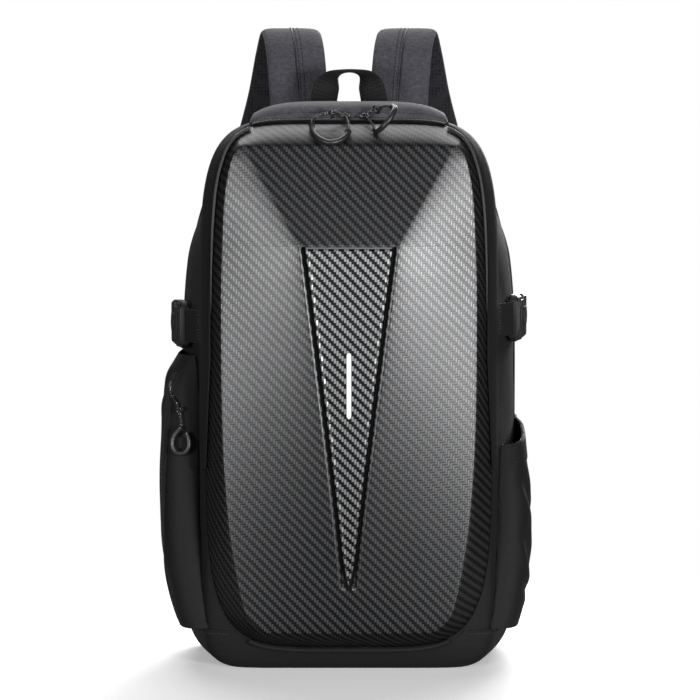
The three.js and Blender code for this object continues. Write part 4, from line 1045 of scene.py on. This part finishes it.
def make_body():
    last = GUSSET_DEPTH - np.array([1.6, 0.6, 0])
    depths = np.concatenate([np.linspace(0, 6, 7), np.linspace(8, GUSSET_DEPTH - 3, 62), last])
    rings = [body_ring(y, -0.9 * (k > 68) * (k - 68)) for k, y in enumerate(depths)]
    last_ring, centre = rings[-1], np.array([0, (RIM_TOP + BODY_BOTTOM) / 2])
    for share in np.linspace(1, 0, 16)[1:]:
        flat_ring = last_ring.copy()
        flat_ring[:, [0, 2]] = mix(centre, flat_ring[:, [0, 2]], share)
        rings.append(flat_ring)
    sheet = np.stack(rings)
    normals = normals_of(sheet, True)
    outward = np.sign((normals[30] * (sheet[30] - [0, 50, 240])).sum())
    normals = normals * outward
    free = np.clip(sheet[..., 1] / 14, 0, 1) * np.clip((sheet[..., 2] - 42) / 20, 0, 1)
    free = (free * np.clip((GUSSET_DEPTH - 1 - sheet[..., 1]) / 10, 0, 1))[..., None]
    moved = slumped(creased(sheet, normals, BODY_CREASES) + normals * rippled(sheet, 0.6)[..., None])
    sheet = mix(sheet, moved, free)
    add_sheet("bag_cloth", sheet, FABRIC_WALL, oxford, ["bag_body"], wrap=True, outward=outward)


def make_gusset_seams():
    """Seam between the front and rear gusset panels, with a welt beside its stitches."""
    ring = body_ring(GUSSET_DEPTH * 0.86, 0.4, 64)
    ring = ring[ring[:, 2] > BASE_RISE + 4]
    start = int(np.argmax(np.linalg.norm(np.diff(ring, axis=0), axis=1))) + 1
    ring = np.roll(ring, -start, axis=0)
    path = slumped(resampled(ring, 360))
    add_tube("rear_welt", path, 1.1, oxford, (), 8)
    add_stitches("gusset_stitches", [path + [0, -3.4, 0]], thread, "fabric", pitch=3.6)


def base_lines(y, grow, count=150):
    ring = body_ring(y, grow, 90)
    order = np.argsort(np.arctan2(ring[:, 0], -(ring[:, 2] - 120)))
    ring = ring[order]
    low = ring[ring[:, 2] < BASE_RISE]
    left, right = low[0].copy(), low[-1].copy()
    left[0], left[2] = -side_x_at_base(y, grow), BASE_RISE
    right[0], right[2] = side_x_at_base(y, grow), BASE_RISE
    return resampled(np.vstack([left, low, right]), count)


def side_x_at_base(y, grow):
    return float(side_x(y, BASE_RISE)) + grow


def make_base():
    grow = SEAM_GAP + BASE_WALL
    depths = np.concatenate([np.linspace(0, 18, 22), np.linspace(21, GUSSET_DEPTH - 2, 34), [GUSSET_DEPTH]])
    lines = [base_lines(y, grow) for y in depths]
    last = lines[-1]
    for k, share in enumerate((0, 0.12, 0.4, 0.7, 1)):
        line = last.copy()
        line[:, 1] = GUSSET_DEPTH + (1.2 if k == 0 else grow)
        inset = min(share, 0.12) * 8
        line[:, 0] = line[:, 0] * (1 - inset * 0.012)
        line[:, 2] = mix(np.maximum(line[:, 2], inset), BASE_RISE, share if k > 1 else 0)
        lines.append(line)
    sheet = np.stack(lines)
    add_sheet("base_cloth", sheet, BASE_WALL, oxford, ["base_panel"], outward=-1)
    sides = [sheet[1:-5, 0] + [-0.35, 0, -3], sheet[1:-5, -1] + [0.35, 0, -3]]
    add_stitches("base_stitches", sides, thread, "fabric")
    for name, side, column in (("base_welt_left", -1, 0), ("base_welt_right", 1, -1)):
        add_tube(name, sheet[1:-5, column] + [0.2 * side, 0, -0.6], 0.9, oxford, (), 8)


def make_band():
    front = SEAM_GAP + ZIP_WIDTH + SEAM_GAP * 2
    share = np.sin(np.linspace(-1, 1, 121) * math.pi / 2)
    x = share * BAND_HALF_WIDTH
    swell = BAND_HEIGHT * (1 - 0.5 * abs(share) ** 5) * np.clip((1 - abs(share)) / 0.035, 0.02, 1) ** 0.5
    c, s = squared(np.linspace(0, 2 * math.pi, 44, endpoint=False), 2.6)
    depth = 0.5 - 0.5 * c
    rise = np.where(s > 0, s, s * 0.04)
    lean = 1 - 0.22 * depth
    rings = []
    for place, tall in zip(x, swell):
        y = front + depth * BAND_DEPTH
        z = np.array([top_z(place, value) for value in y]) + 1.1 + rise * tall * lean
        z = z + ZIP_SHOWN * (1 - (place / BAND_HALF_WIDTH) ** 2) * np.where(s > 0, 0, (1 - depth) ** 1.5)
        rings.append(np.stack([np.full_like(y, place), y, z], axis=1))
    points, faces, flat = rings_mesh(rings)
    band = add_piece("top_band_padded", points, faces, grey_cloth, ["top_band"], flat, 60)
    rings = np.stack(rings)
    lines = [rings[3:-3, 3] + [0, -0.15, 0.2], rings[3:-3, 19] + [0, 0.1, 0.3]]
    add_stitches("band_stitches", lines, grey_thread, "grey_fabric")


def make_zip():
    half = BAND_HALF_WIDTH * 0.96
    x = np.linspace(-half, half, 160)
    y0 = SEAM_GAP
    rows = []
    for y in np.linspace(y0, y0 + ZIP_WIDTH, 8):
        rows.append(np.stack([x, np.full_like(x, y), np.array([top_z(a, y) for a in x]) + 1.65], axis=1))
    add_sheet("zip_tape_cloth", np.stack(rows), 1.2, lining, ["zip_tape"], outward=-1)
    pitch, middle = 1.7, y0 + ZIP_WIDTH / 2
    meshes = []
    for index, place in enumerate(np.arange(-half * 0.98, half * 0.98, pitch)):
        side = 1 if index % 2 else -1
        z = float(top_z(place, middle)) + 2.6
        line = np.array([
            (place, middle + side * 1.6, z - 0.3), (place, middle + side * 0.7, z),
            (place, middle - side * 0.5, z), (place + 0.3, middle - side * 0.9, z - 0.2),
        ])
        meshes.append(rings_mesh(tube_rings(line, [0.45, 0.6, 0.66, 0.4], 6)))
    add_joined("zip_coil", meshes, teeth_plastic, ["zip_teeth"])
    for name in ("slider_left", "slider_right"):
        low, high = node_box(name)
        add_slider(name, ((low + high) / 2, high - low, *np.eye(3)))


def add_slider(name, placing):
    """Zip slider: a waisted body, a bridge over it and a small ring for the cord."""
    middle, (length, width, tall), forward, side, out = placing
    share = np.linspace(-1, 1, 17)
    wide = width * (0.74 + 0.26 * abs(share) ** 1.5) * np.sqrt(np.clip(1.06 - share**8, 0, 1))
    path = middle - out * tall * 0.2 + forward * share[:, None] * length / 2
    body = rings_mesh(swept(path, side, wide, np.full(17, tall * 0.55), shape=5, sides=24))
    arch = np.array([(-0.34, 0.05), (-0.3, 0.32), (-0.12, 0.46), (0.12, 0.46), (0.3, 0.32), (0.34, 0.05)])
    route = smooth_path([middle + forward * a * length + out * b * tall for a, b in arch], 24)
    bridge = rings_mesh(swept(route, side, width * 0.3, tall * 0.2, shape=4, sides=16))
    turn = np.linspace(0, 2 * math.pi, 40)
    eye = middle + out * tall * 0.45
    eye = eye + np.cos(turn)[:, None] * side * 1.7 + np.sin(turn)[:, None] * out * 1.2
    ring = rings_mesh(tube_rings(eye, 0.4, 8))
    add_joined(f"{name}_body", [body, bridge, ring], teeth_plastic, [name], 50)


# Pockets


def pocket_grid(levels, tall, bulge, grow, heights, turns, folds=None):
    """Patch pocket on the right flank: heights are levels, and turns go from its front edge to its back."""
    rows = []
    for level in heights:
        reach = float(curve(levels[:, 0], levels[:, 1], level))
        front = mix(0.07, 0.2, min(level, 1.1)) * GUSSET_DEPTH - grow
        back = 0.93 * GUSSET_DEPTH + grow
        out = BACK_HALF_WIDTH + reach * bulge + grow
        c, s = squared(turns, POCKET_SHAPE)
        x = out - POCKET_DEEP * (1 - np.maximum(c, -0.5))
        y = (front + back) / 2 + (back - front) / 2 * s
        z = np.full_like(x, BASE_RISE + SEAM_GAP * 2 + level * tall)
        x = np.maximum(x, np.array([float(side_x(a, b)) for a, b in zip(y, z)]) + 0.7)
        rows.append(np.stack([x, y, z], axis=1))
    sheet = np.stack(rows)
    if folds:
        sheet = creased(sheet, np.array([1.0, 0, 0]) * np.ones_like(sheet), folds)
    return sheet


LEFT_FOLDS = [
    ((150, 30, 250), (163, 70, 225), 7, 1.6), ((150, 24, 60), (163, 60, 110), 9, 1.4),
    ((150, 110, 250), (163, 80, 215), 8, 1.4), ((160, 90, 70), (164, 60, 60), 8, 1),
]
RIGHT_FOLDS = [
    ((152, 26, 168), (158, 70, 120), 8, 2.4), ((150, 22, 120), (157, 60, 70), 8, 2.2),
    ((156, 100, 150), (158, 70, 90), 9, 1.6), ((150, 20, 70), (156, 90, 52), 6, 1.2),
]


def add_pocket(label, side, sheet):
    """Cloth and welt of a flank's pocket, rippled and taken to its own side."""
    sheet = (sheet + np.array([1.0, 0, 0]) * rippled(sheet, 0.5)[..., None]) * [side, 1, 1]
    add_sheet(f"{label}_pocket", sheet, POCKET_WALL, oxford, [f"side_pocket_{label}"], outward=-side)
    add_tube(f"{label}_pocket_welt", sheet[4:-6, 12] + [0.3 * side, 0, 0], 0.9, oxford, (), 8)
    return sheet


def make_pockets():
    turns = np.linspace(-1, 1, 90) * math.radians(142)
    heights = np.concatenate([np.linspace(0, 0.06, 8), np.linspace(0.08, 0.9, 60), np.linspace(0.915, 1, 12)])
    left = pocket_grid(POCKET_LEVELS, POCKET_HEIGHT, POCKET_BULGE, 0, heights, turns, LEFT_FOLDS)
    left = add_pocket("left", -1, left)
    lines = [left[4:-6, 15] + [-0.25, 0, 0], left[-5, 8:-8] + [-0.2, 0, 0.3]]
    add_stitches("left_pocket_stitches", lines, thread, "fabric")

    heights = np.concatenate([np.linspace(0, 0.08, 8), np.linspace(0.1, 1, 60)])
    right = pocket_grid(BOTTLE_LEVELS, BOTTLE_POCKET_HEIGHT, BOTTLE_POCKET_BULGE, 0, heights, turns, RIGHT_FOLDS)
    slope = 0.93 + 0.15 * right[..., 1] / GUSSET_DEPTH
    right[..., 2] = BASE_RISE + (right[..., 2] - BASE_RISE) * slope
    right = add_pocket("right", 1, right)
    top = right[-8:, 6:-6] + [1.5, 0, 0.4]
    hem = np.concatenate([top, top[-1:] + [-0.8, 0, 0.7], top[-1:] + [-1.6, 0, 0.2]])
    add_sheet("pocket_hem_webbing", hem, 1.2, webbing, ["pocket_hem"], outward=-1)
    add_stitches("hem_stitches", [hem[1] + [0.2, 0, 0]], thread, "webbing")


def make_pocket_zip():
    low, high = node_box("pocket_zip")
    levels = (np.linspace(low[2], high[2], 90) - BASE_RISE - 0.6) / POCKET_HEIGHT
    turns = np.linspace(-1.5, -0.1, 80)
    outer = pocket_grid(POCKET_LEVELS, POCKET_HEIGHT, POCKET_BULGE, SEAM_GAP + 1.2, levels, turns)
    columns = []
    for y in np.linspace(low[1] + 0.2, high[1], 9):
        columns.append([(-np.interp(y, row[:, 1], row[:, 0]), y, row[0, 2]) for row in outer])
    sheet = np.array(columns).transpose(1, 0, 2)
    add_sheet("pocket_zip_tape", sheet, 1.2, lining, ["pocket_zip"], outward=1)
    line = resampled(sheet[:, 4], 88)
    across = np.array([-math.sin(POCKET_ZIP_TURN), -math.cos(POCKET_ZIP_TURN), 0])
    out = np.array([-math.cos(POCKET_ZIP_TURN), -math.sin(POCKET_ZIP_TURN), 0])
    meshes = []
    for index, place in enumerate(line):
        side = 1 if index % 2 else -1
        tooth = [place + across * side * a + out * b + [0, 0, c]
                 for a, b, c in ((1.5, 0.1, 0), (0.6, 0.5, 0), (-0.5, 0.5, 0), (-0.9, 0.2, 0.3))]
        meshes.append(rings_mesh(tube_rings(tooth, [0.4, 0.55, 0.6, 0.4], 6)))
    add_joined("pocket_teeth", meshes, teeth_plastic)
    slider = (np.array(POCKET_SLIDER), (9, 6, 3.4), np.array([0.0, 0, 1]), across, out)
    add_slider("pocket_slider", slider)


# Straps and webbing


def bevelled_node(name, node, finish, width=0.7):
    """The node's own solid with its edges rounded."""
    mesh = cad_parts[node].data.copy()
    mesh.name = name
    mesh.materials.clear()
    mesh.materials.append(finish)
    work = bmesh.new()
    work.from_mesh(mesh)
    bmesh.ops.remove_doubles(work, verts=work.verts, dist=1e-6)
    bmesh.ops.dissolve_limit(work, angle_limit=math.radians(2), verts=work.verts, edges=work.edges)
    edges = [edge for edge in work.edges if edge.is_manifold and edge.calc_face_angle(0) > math.radians(25)]
    bmesh.ops.bevel(work, geom=edges, offset=width * 0.001, segments=3, profile=0.5, affect="EDGES",
                    clamp_overlap=True)
    work.to_mesh(mesh)
    work.free()
    mesh.shade_smooth()
    mesh.set_sharp_from_angle(angle=math.radians(35))
    piece = bpy.data.objects.new(name, mesh)
    scene.collection.objects.link(piece)
    return placed(piece, [node])


def add_webbing(name, path, across, width):
    """Length of ribbed webbing in the place of a node."""
    add_band(f"{name}_ribbed", path, across, width, WEB_THICKNESS, webbing, "webbing", [name],
             shape=8, sides=36)


def crossed_box(corners):
    """Stitch lines of a sewn box: its four sides and its two diagonals."""
    return [corners[[k, k + 1]] for k in range(4)] + [corners[[0, 2]], corners[[1, 3]]]


def make_compression(side, label):
    low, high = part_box(f"buckle_socket_{label}")
    z = (low.z + high.z) * 500
    middle = GUSSET_DEPTH * BUCKLE_PLACE
    front, back = middle - BUCKLE_LENGTH / 2, middle + BUCKLE_LENGTH / 2
    tilt = math.atan(float(side_x(back, z) - side_x(front, z)) / BUCKLE_LENGTH)
    line_x = float(side_x(middle, z)) + SEAM_GAP * 3 + BUCKLE_THICKNESS / 2
    lie = SEAM_GAP * 3 + WEB_THICKNESS / 2
    sewn = FLAP_REACH + SEAM_GAP * 3

    def on_line(y):
        return line_x + (y - middle) * math.tan(tilt)

    def on_side(y):
        return float(side_x(y, z)) + lie

    fronts = [(on_side(y), y) for y in (sewn, sewn * 2)]
    fronts.append((on_line(front) - SEAM_GAP, front - SEAM_GAP))
    backs = [(on_line(back), back + SEAM_GAP * 3)]
    backs += [(on_side(share * GUSSET_DEPTH), share * GUSSET_DEPTH) for share in (0.91, 0.98)]
    for place, rows in (("front", fronts), ("back", backs)):
        path = smooth_path([(side * x, y, z) for x, y in rows], 30)
        add_webbing(f"side_web_{place}_{label}", path, (0, 0, 1), SIDE_WEB_WIDTH)
    for part in ("socket", "plug"):
        bevelled_node(f"buckle_{part}_{label}_moulded", f"buckle_{part}_{label}", plastic)
    # Grip ribs on the plug, and a raised pad on the socket
    outward = np.array([side * math.cos(tilt), -math.sin(tilt), 0])
    along = np.array([side * math.sin(tilt), math.cos(tilt), 0])
    centre = np.array([side * line_x, middle, z])
    meshes = []
    for step in (-24, -20.5, -17):
        run = np.linspace(-1, 1, 12)
        route = centre + along * step + outward * (BUCKLE_THICKNESS / 2 * 0.9) + run[:, None] * [0, 0, 13]
        meshes.append(rings_mesh(tube_rings(route, 0.8 * np.sqrt(np.clip(1 - run**6, 0.1, 1)), 8)))
    pad = centre + along * np.linspace(4, 26, 20)[:, None] + outward * (BUCKLE_THICKNESS / 2)
    widths = 17 * np.sqrt(np.clip(1.05 - np.linspace(-1, 1, 20) ** 6, 0.05, 1))
    meshes.append(rings_mesh(swept(pad, (0, 0, 1), widths, 1.1, shape=5, sides=24)))
    add_joined(f"buckle_ribs_{label}", meshes, plastic, (), 40)
    box = [(sewn + 1.5, -11), (sewn + 1.5, 11), (sewn + 9, 11), (sewn + 9, -11), (sewn + 1.5, -11)]
    corners = np.array([(side * (on_side(y) + 1.15), y, z + up) for y, up in box])
    add_stitches(f"side_web_stitches_{label}", crossed_box(corners), thread, "webbing", pitch=2.4, length=1.7)


def strap_rows(side):
    out, back, up, over = STRAP_ROWS[:, :4].T
    places = np.stack([
        side * out * BACK_HALF_WIDTH,
        GUSSET_DEPTH + SEAM_GAP * 2 + STRAP_THICKNESS / 2 + back * STRAP_REACH,
        up * BACK_TOP + over * STRAP_CREST,
    ], axis=1)
    count = 170
    index = np.linspace(0, len(places) - 1, count)
    rows = np.arange(len(places))
    widths = curve(rows, STRAP_ROWS[:, 4], index) * STRAP_WIDTH
    thicknesses = curve(rows, STRAP_ROWS[:, 5], index) * STRAP_THICKNESS
    return places, smooth_path(places, count), widths, thicknesses


def make_strap(side, label):
    """Padded strap: grey cloth outside, mesh towards the wearer, bound edges and a double row of stitches."""
    places, path, widths, thicknesses = strap_rows(side)
    run = lengths_along(path)
    puff = 1 + 0.05 * np.sin(run / 21) + 0.04 * np.sin(run / 9 + 1)
    rings = swept(path, (1, 0, 0), widths, thicknesses * puff, shape=3.1, sides=44, rounded_ends=7)
    points, faces, flat = rings_mesh(rings)
    turn = (np.arange(44) + 0.5) / 44
    lined = [1 if turn[face[0] % 44] < 0.5 and len(face) == 4 else 0 for face in faces]
    strap = add_piece(f"strap_pad_{label}", points, faces, grey_cloth,
                      [f"shoulder_strap_{label}"], flat, 60, (mesh_cloth, lined))
    _, across, normal = frames_along(path, np.broadcast_to([1.0, 0, 0], path.shape))
    for edge_side, edge_name in ((-1, "inner"), (1, "outer")):
        edge = path + across * (edge_side * (widths / 2 - 0.6))[:, None]
        add_tube(f"strap_binding_{label}_{edge_name}", edge[3:-2], 1.5, grey_cloth, (), 10)
    half = thicknesses * puff / 2
    seam = path + across * (side * 0.2) - normal * (half + 0.1)[:, None]
    add_tube(f"strap_seam_{label}", seam[4:-5], 0.7, thread, (), 8)
    top = path - normal * (half + 0.15)[:, None]
    lines = [(top - across * (side * offset))[5:-8] for offset in (2.2, 5.6)]
    add_stitches(f"strap_stitches_{label}", lines, grey_thread, "grey_fabric",
                 pitch=3, length=2.2, radius=0.42)
    bevelled_node(f"ladder_lock_{label}_moulded", f"ladder_lock_{label}", plastic, 0.6)
    down = unit(places[-1] - places[-2])
    lock_bottom = places[-1] + down * (SEAM_GAP * 2 + 26)
    tab_x = side * BACK_HALF_WIDTH * TAB_PLACE
    tab_top = np.array([tab_x, GUSSET_DEPTH + SEAM_GAP * 3 + 3 + WEB_THICKNESS, BACK_TOP * 0.17])
    start = lock_bottom + down * (SEAM_GAP + WEB_THICKNESS)
    end = tab_top - [0, 0, 6]
    bend = (start + end) / 2 + [0, 2.6, 0]
    add_webbing(f"strap_web_{label}", smooth_path([start, bend, end], 60), (1, 0, 0), STRAP_WEB_WIDTH)
    bevelled_node(f"strap_tab_{label}_cloth", f"strap_tab_{label}", oxford, 0.8)
    y = node_box(f"strap_tab_{label}")[1][1] + 0.15
    corners = np.array([(tab_x + out, y, z) for out, z in TAB_STITCHES])
    add_stitches(f"tab_stitches_{label}", crossed_box(corners), thread, "webbing", pitch=2.6, length=1.9)


def make_haul_loop():
    """Carry loop: its legs face the front and its crown lies flat."""
    y = GUSSET_DEPTH * HAUL_PLACE
    spots = np.array([
        (-1, 0, 0), (-0.98, 0.3, 0.06), (-0.82, 0.66, 0.3), (-0.5, 0.92, 0.75), (0, 1, 1), (0.5, 0.93, 0.75),
        (0.82, 0.68, 0.3), (0.98, 0.3, 0.06), (1, 0, 0),
    ])
    x = spots[:, 0] * HAUL_HALF_SPAN
    z = np.array([float(top_z(place, y)) for place in x]) + 0.9 + spots[:, 1] * HAUL_HEIGHT
    places = np.stack([x, np.full_like(x, y), z], axis=1)
    angle = spots[:, 2] * math.pi / 2
    facing = np.where(spots[:, 0] < 0, 1, -1)
    across = np.stack([np.cos(angle) * facing, np.sin(angle), 0 * angle], axis=1)
    index, rows = np.linspace(0, 8, 90), np.arange(9)
    across = np.stack([np.interp(index, rows, across[:, k]) for k in range(3)], axis=1)
    widths = np.interp(index, rows, HAUL_WIDTH * mix(0.92, 1, spots[:, 2]))
    add_band("carry_loop", smooth_path(places, 90), across, widths, 2.6, webbing, "webbing", ["haul_loop"],
             shape=7, sides=40)


def make_back_pad():
    """Padded back panel in mesh: two long pads with a channel between them, and cross channels."""
    low, high = node_box("back_pad")
    middle, half = (low + high) / 2, (high - low) / 2
    shares = np.sin(np.linspace(-1, 1, 141) * math.pi / 2 * 0.98) / math.sin(math.pi / 2 * 0.98)
    u, v = np.meshgrid(shares, shares, indexing="ij")
    u, v = u.T, v.T
    corner = 5
    scale = (abs(u) ** corner + abs(v) ** corner + 1e-9) ** (-1 / corner) * np.maximum(abs(u), abs(v))
    x, z = middle[0] + u * scale * half[0], middle[2] + v * scale * half[2]
    border = 1 - np.maximum(abs(u), abs(v))
    dome = np.clip(border / 0.12, 0, 1)
    dome = np.sqrt(np.clip(1 - (1 - dome) ** 2, 0, 1))
    channel = np.exp(-((u / 0.09) ** 2))
    for level in (-0.52, 0.0, 0.52):
        bend = level + 0.14 * u**2
        channel = np.maximum(channel, 0.85 * np.exp(-(((v - bend) / 0.035) ** 2)))
    thick = (high[1] - low[1]) * (0.16 + 0.84 * dome * (1 - 0.72 * channel))
    front = np.stack([x, low[1] + thick, z], axis=-1)
    back = np.stack([x, np.full_like(x, low[1]), z], axis=-1)
    rows, columns = front.shape[:2]
    points = np.vstack([front.reshape(-1, 3), back.reshape(-1, 3)])
    count = rows * columns
    faces = quads(rows, columns) + [face[::-1] for face in quads(rows, columns, start=count)]
    indices = np.arange(count).reshape(rows, columns)
    loop = face_loop(indices[..., None])[:, 0]
    faces += between(loop, loop + count)
    pad = add_piece("back_pad_mesh", points, faces, mesh_cloth, ["back_pad"], None, 60)
    edge = face_loop(front)
    path = resampled(np.vstack([edge, edge[:1]]), 400)
    add_tube("back_pad_binding", path, 1.6, oxford, (), 10)


def make_studio():
    floor_mesh = bpy.data.meshes.new("floor")
    floor_mesh.from_pydata([(-6, -6, 0), (6, -6, 0), (6, 6, 0), (-6, 6, 0)], [], [(0, 1, 2, 3)])
    floor_mesh.materials.append(pale_floor())
    floor = bpy.data.objects.new("floor", floor_mesh)
    scene.collection.objects.link(floor)
    world = bpy.data.worlds.new("studio")
    scene.world = world
    world.use_nodes = True
    tree = world.node_tree
    background = tree.nodes["Background"]
    seen = tree.nodes.new("ShaderNodeLightPath")
    strength = tree.nodes.new("ShaderNodeMapRange")
    strength.inputs["To Min"].default_value = AROUND_LIGHT
    strength.inputs["To Max"].default_value = 1.0
    tree.links.new(seen.outputs["Is Camera Ray"], strength.inputs["Value"])
    tree.links.new(strength.outputs["Result"], background.inputs["Strength"])
    background.inputs["Color"].default_value = (1, 1, 1, 1)
    scene.view_settings.view_transform = "Standard"
    lights = [
        ("left_softbox", (-1.12, -1.9, 0.36), (0, 0, 0.33), (0.5, 0.5), 21),
        ("right_softbox", (1.12, -1.9, 0.36), (0, 0, 0.33), (0.5, 0.5), 38),
        ("top_softbox", (0, 0.95, 1.6), (0, 0, 0), (1.7, 1.1), 36),
        ("front_fill", (0, -2.6, 0.6), (0, 0, 0.38), (0.5, 0.3), 4),
        ("rear_softbox", (0.7, 2.4, 1.1), (0, 0, 0.25), (1.2, 1), 60),
    ]
    for name, place, target, size, power in lights:
        data = bpy.data.lights.new(name, "AREA")
        data.shape = "RECTANGLE"
        data.size, data.size_y = size
        data.energy = power
        light = bpy.data.objects.new(name, data)
        scene.collection.objects.link(light)
        light.location = place
        away = np.array(place) - np.array(target)
        turn = math.atan2(away[0], -away[1])
        light.rotation_euler = (math.atan2(math.hypot(away[0], away[1]), away[2]), 0, turn)


shell_face = make_shell()
make_plate_bead()
make_mark()
make_body()
make_gusset_seams()
make_base()
make_base_piping()
make_zip()
make_band()
make_pockets()
make_pocket_zip()
make_haul_loop()
make_back_pad()
for side, label in ((-1, "left"), (1, "right")):
    make_flap(shell_face, side, label)
    make_compression(side, label)
    make_strap(side, label)
make_studio()
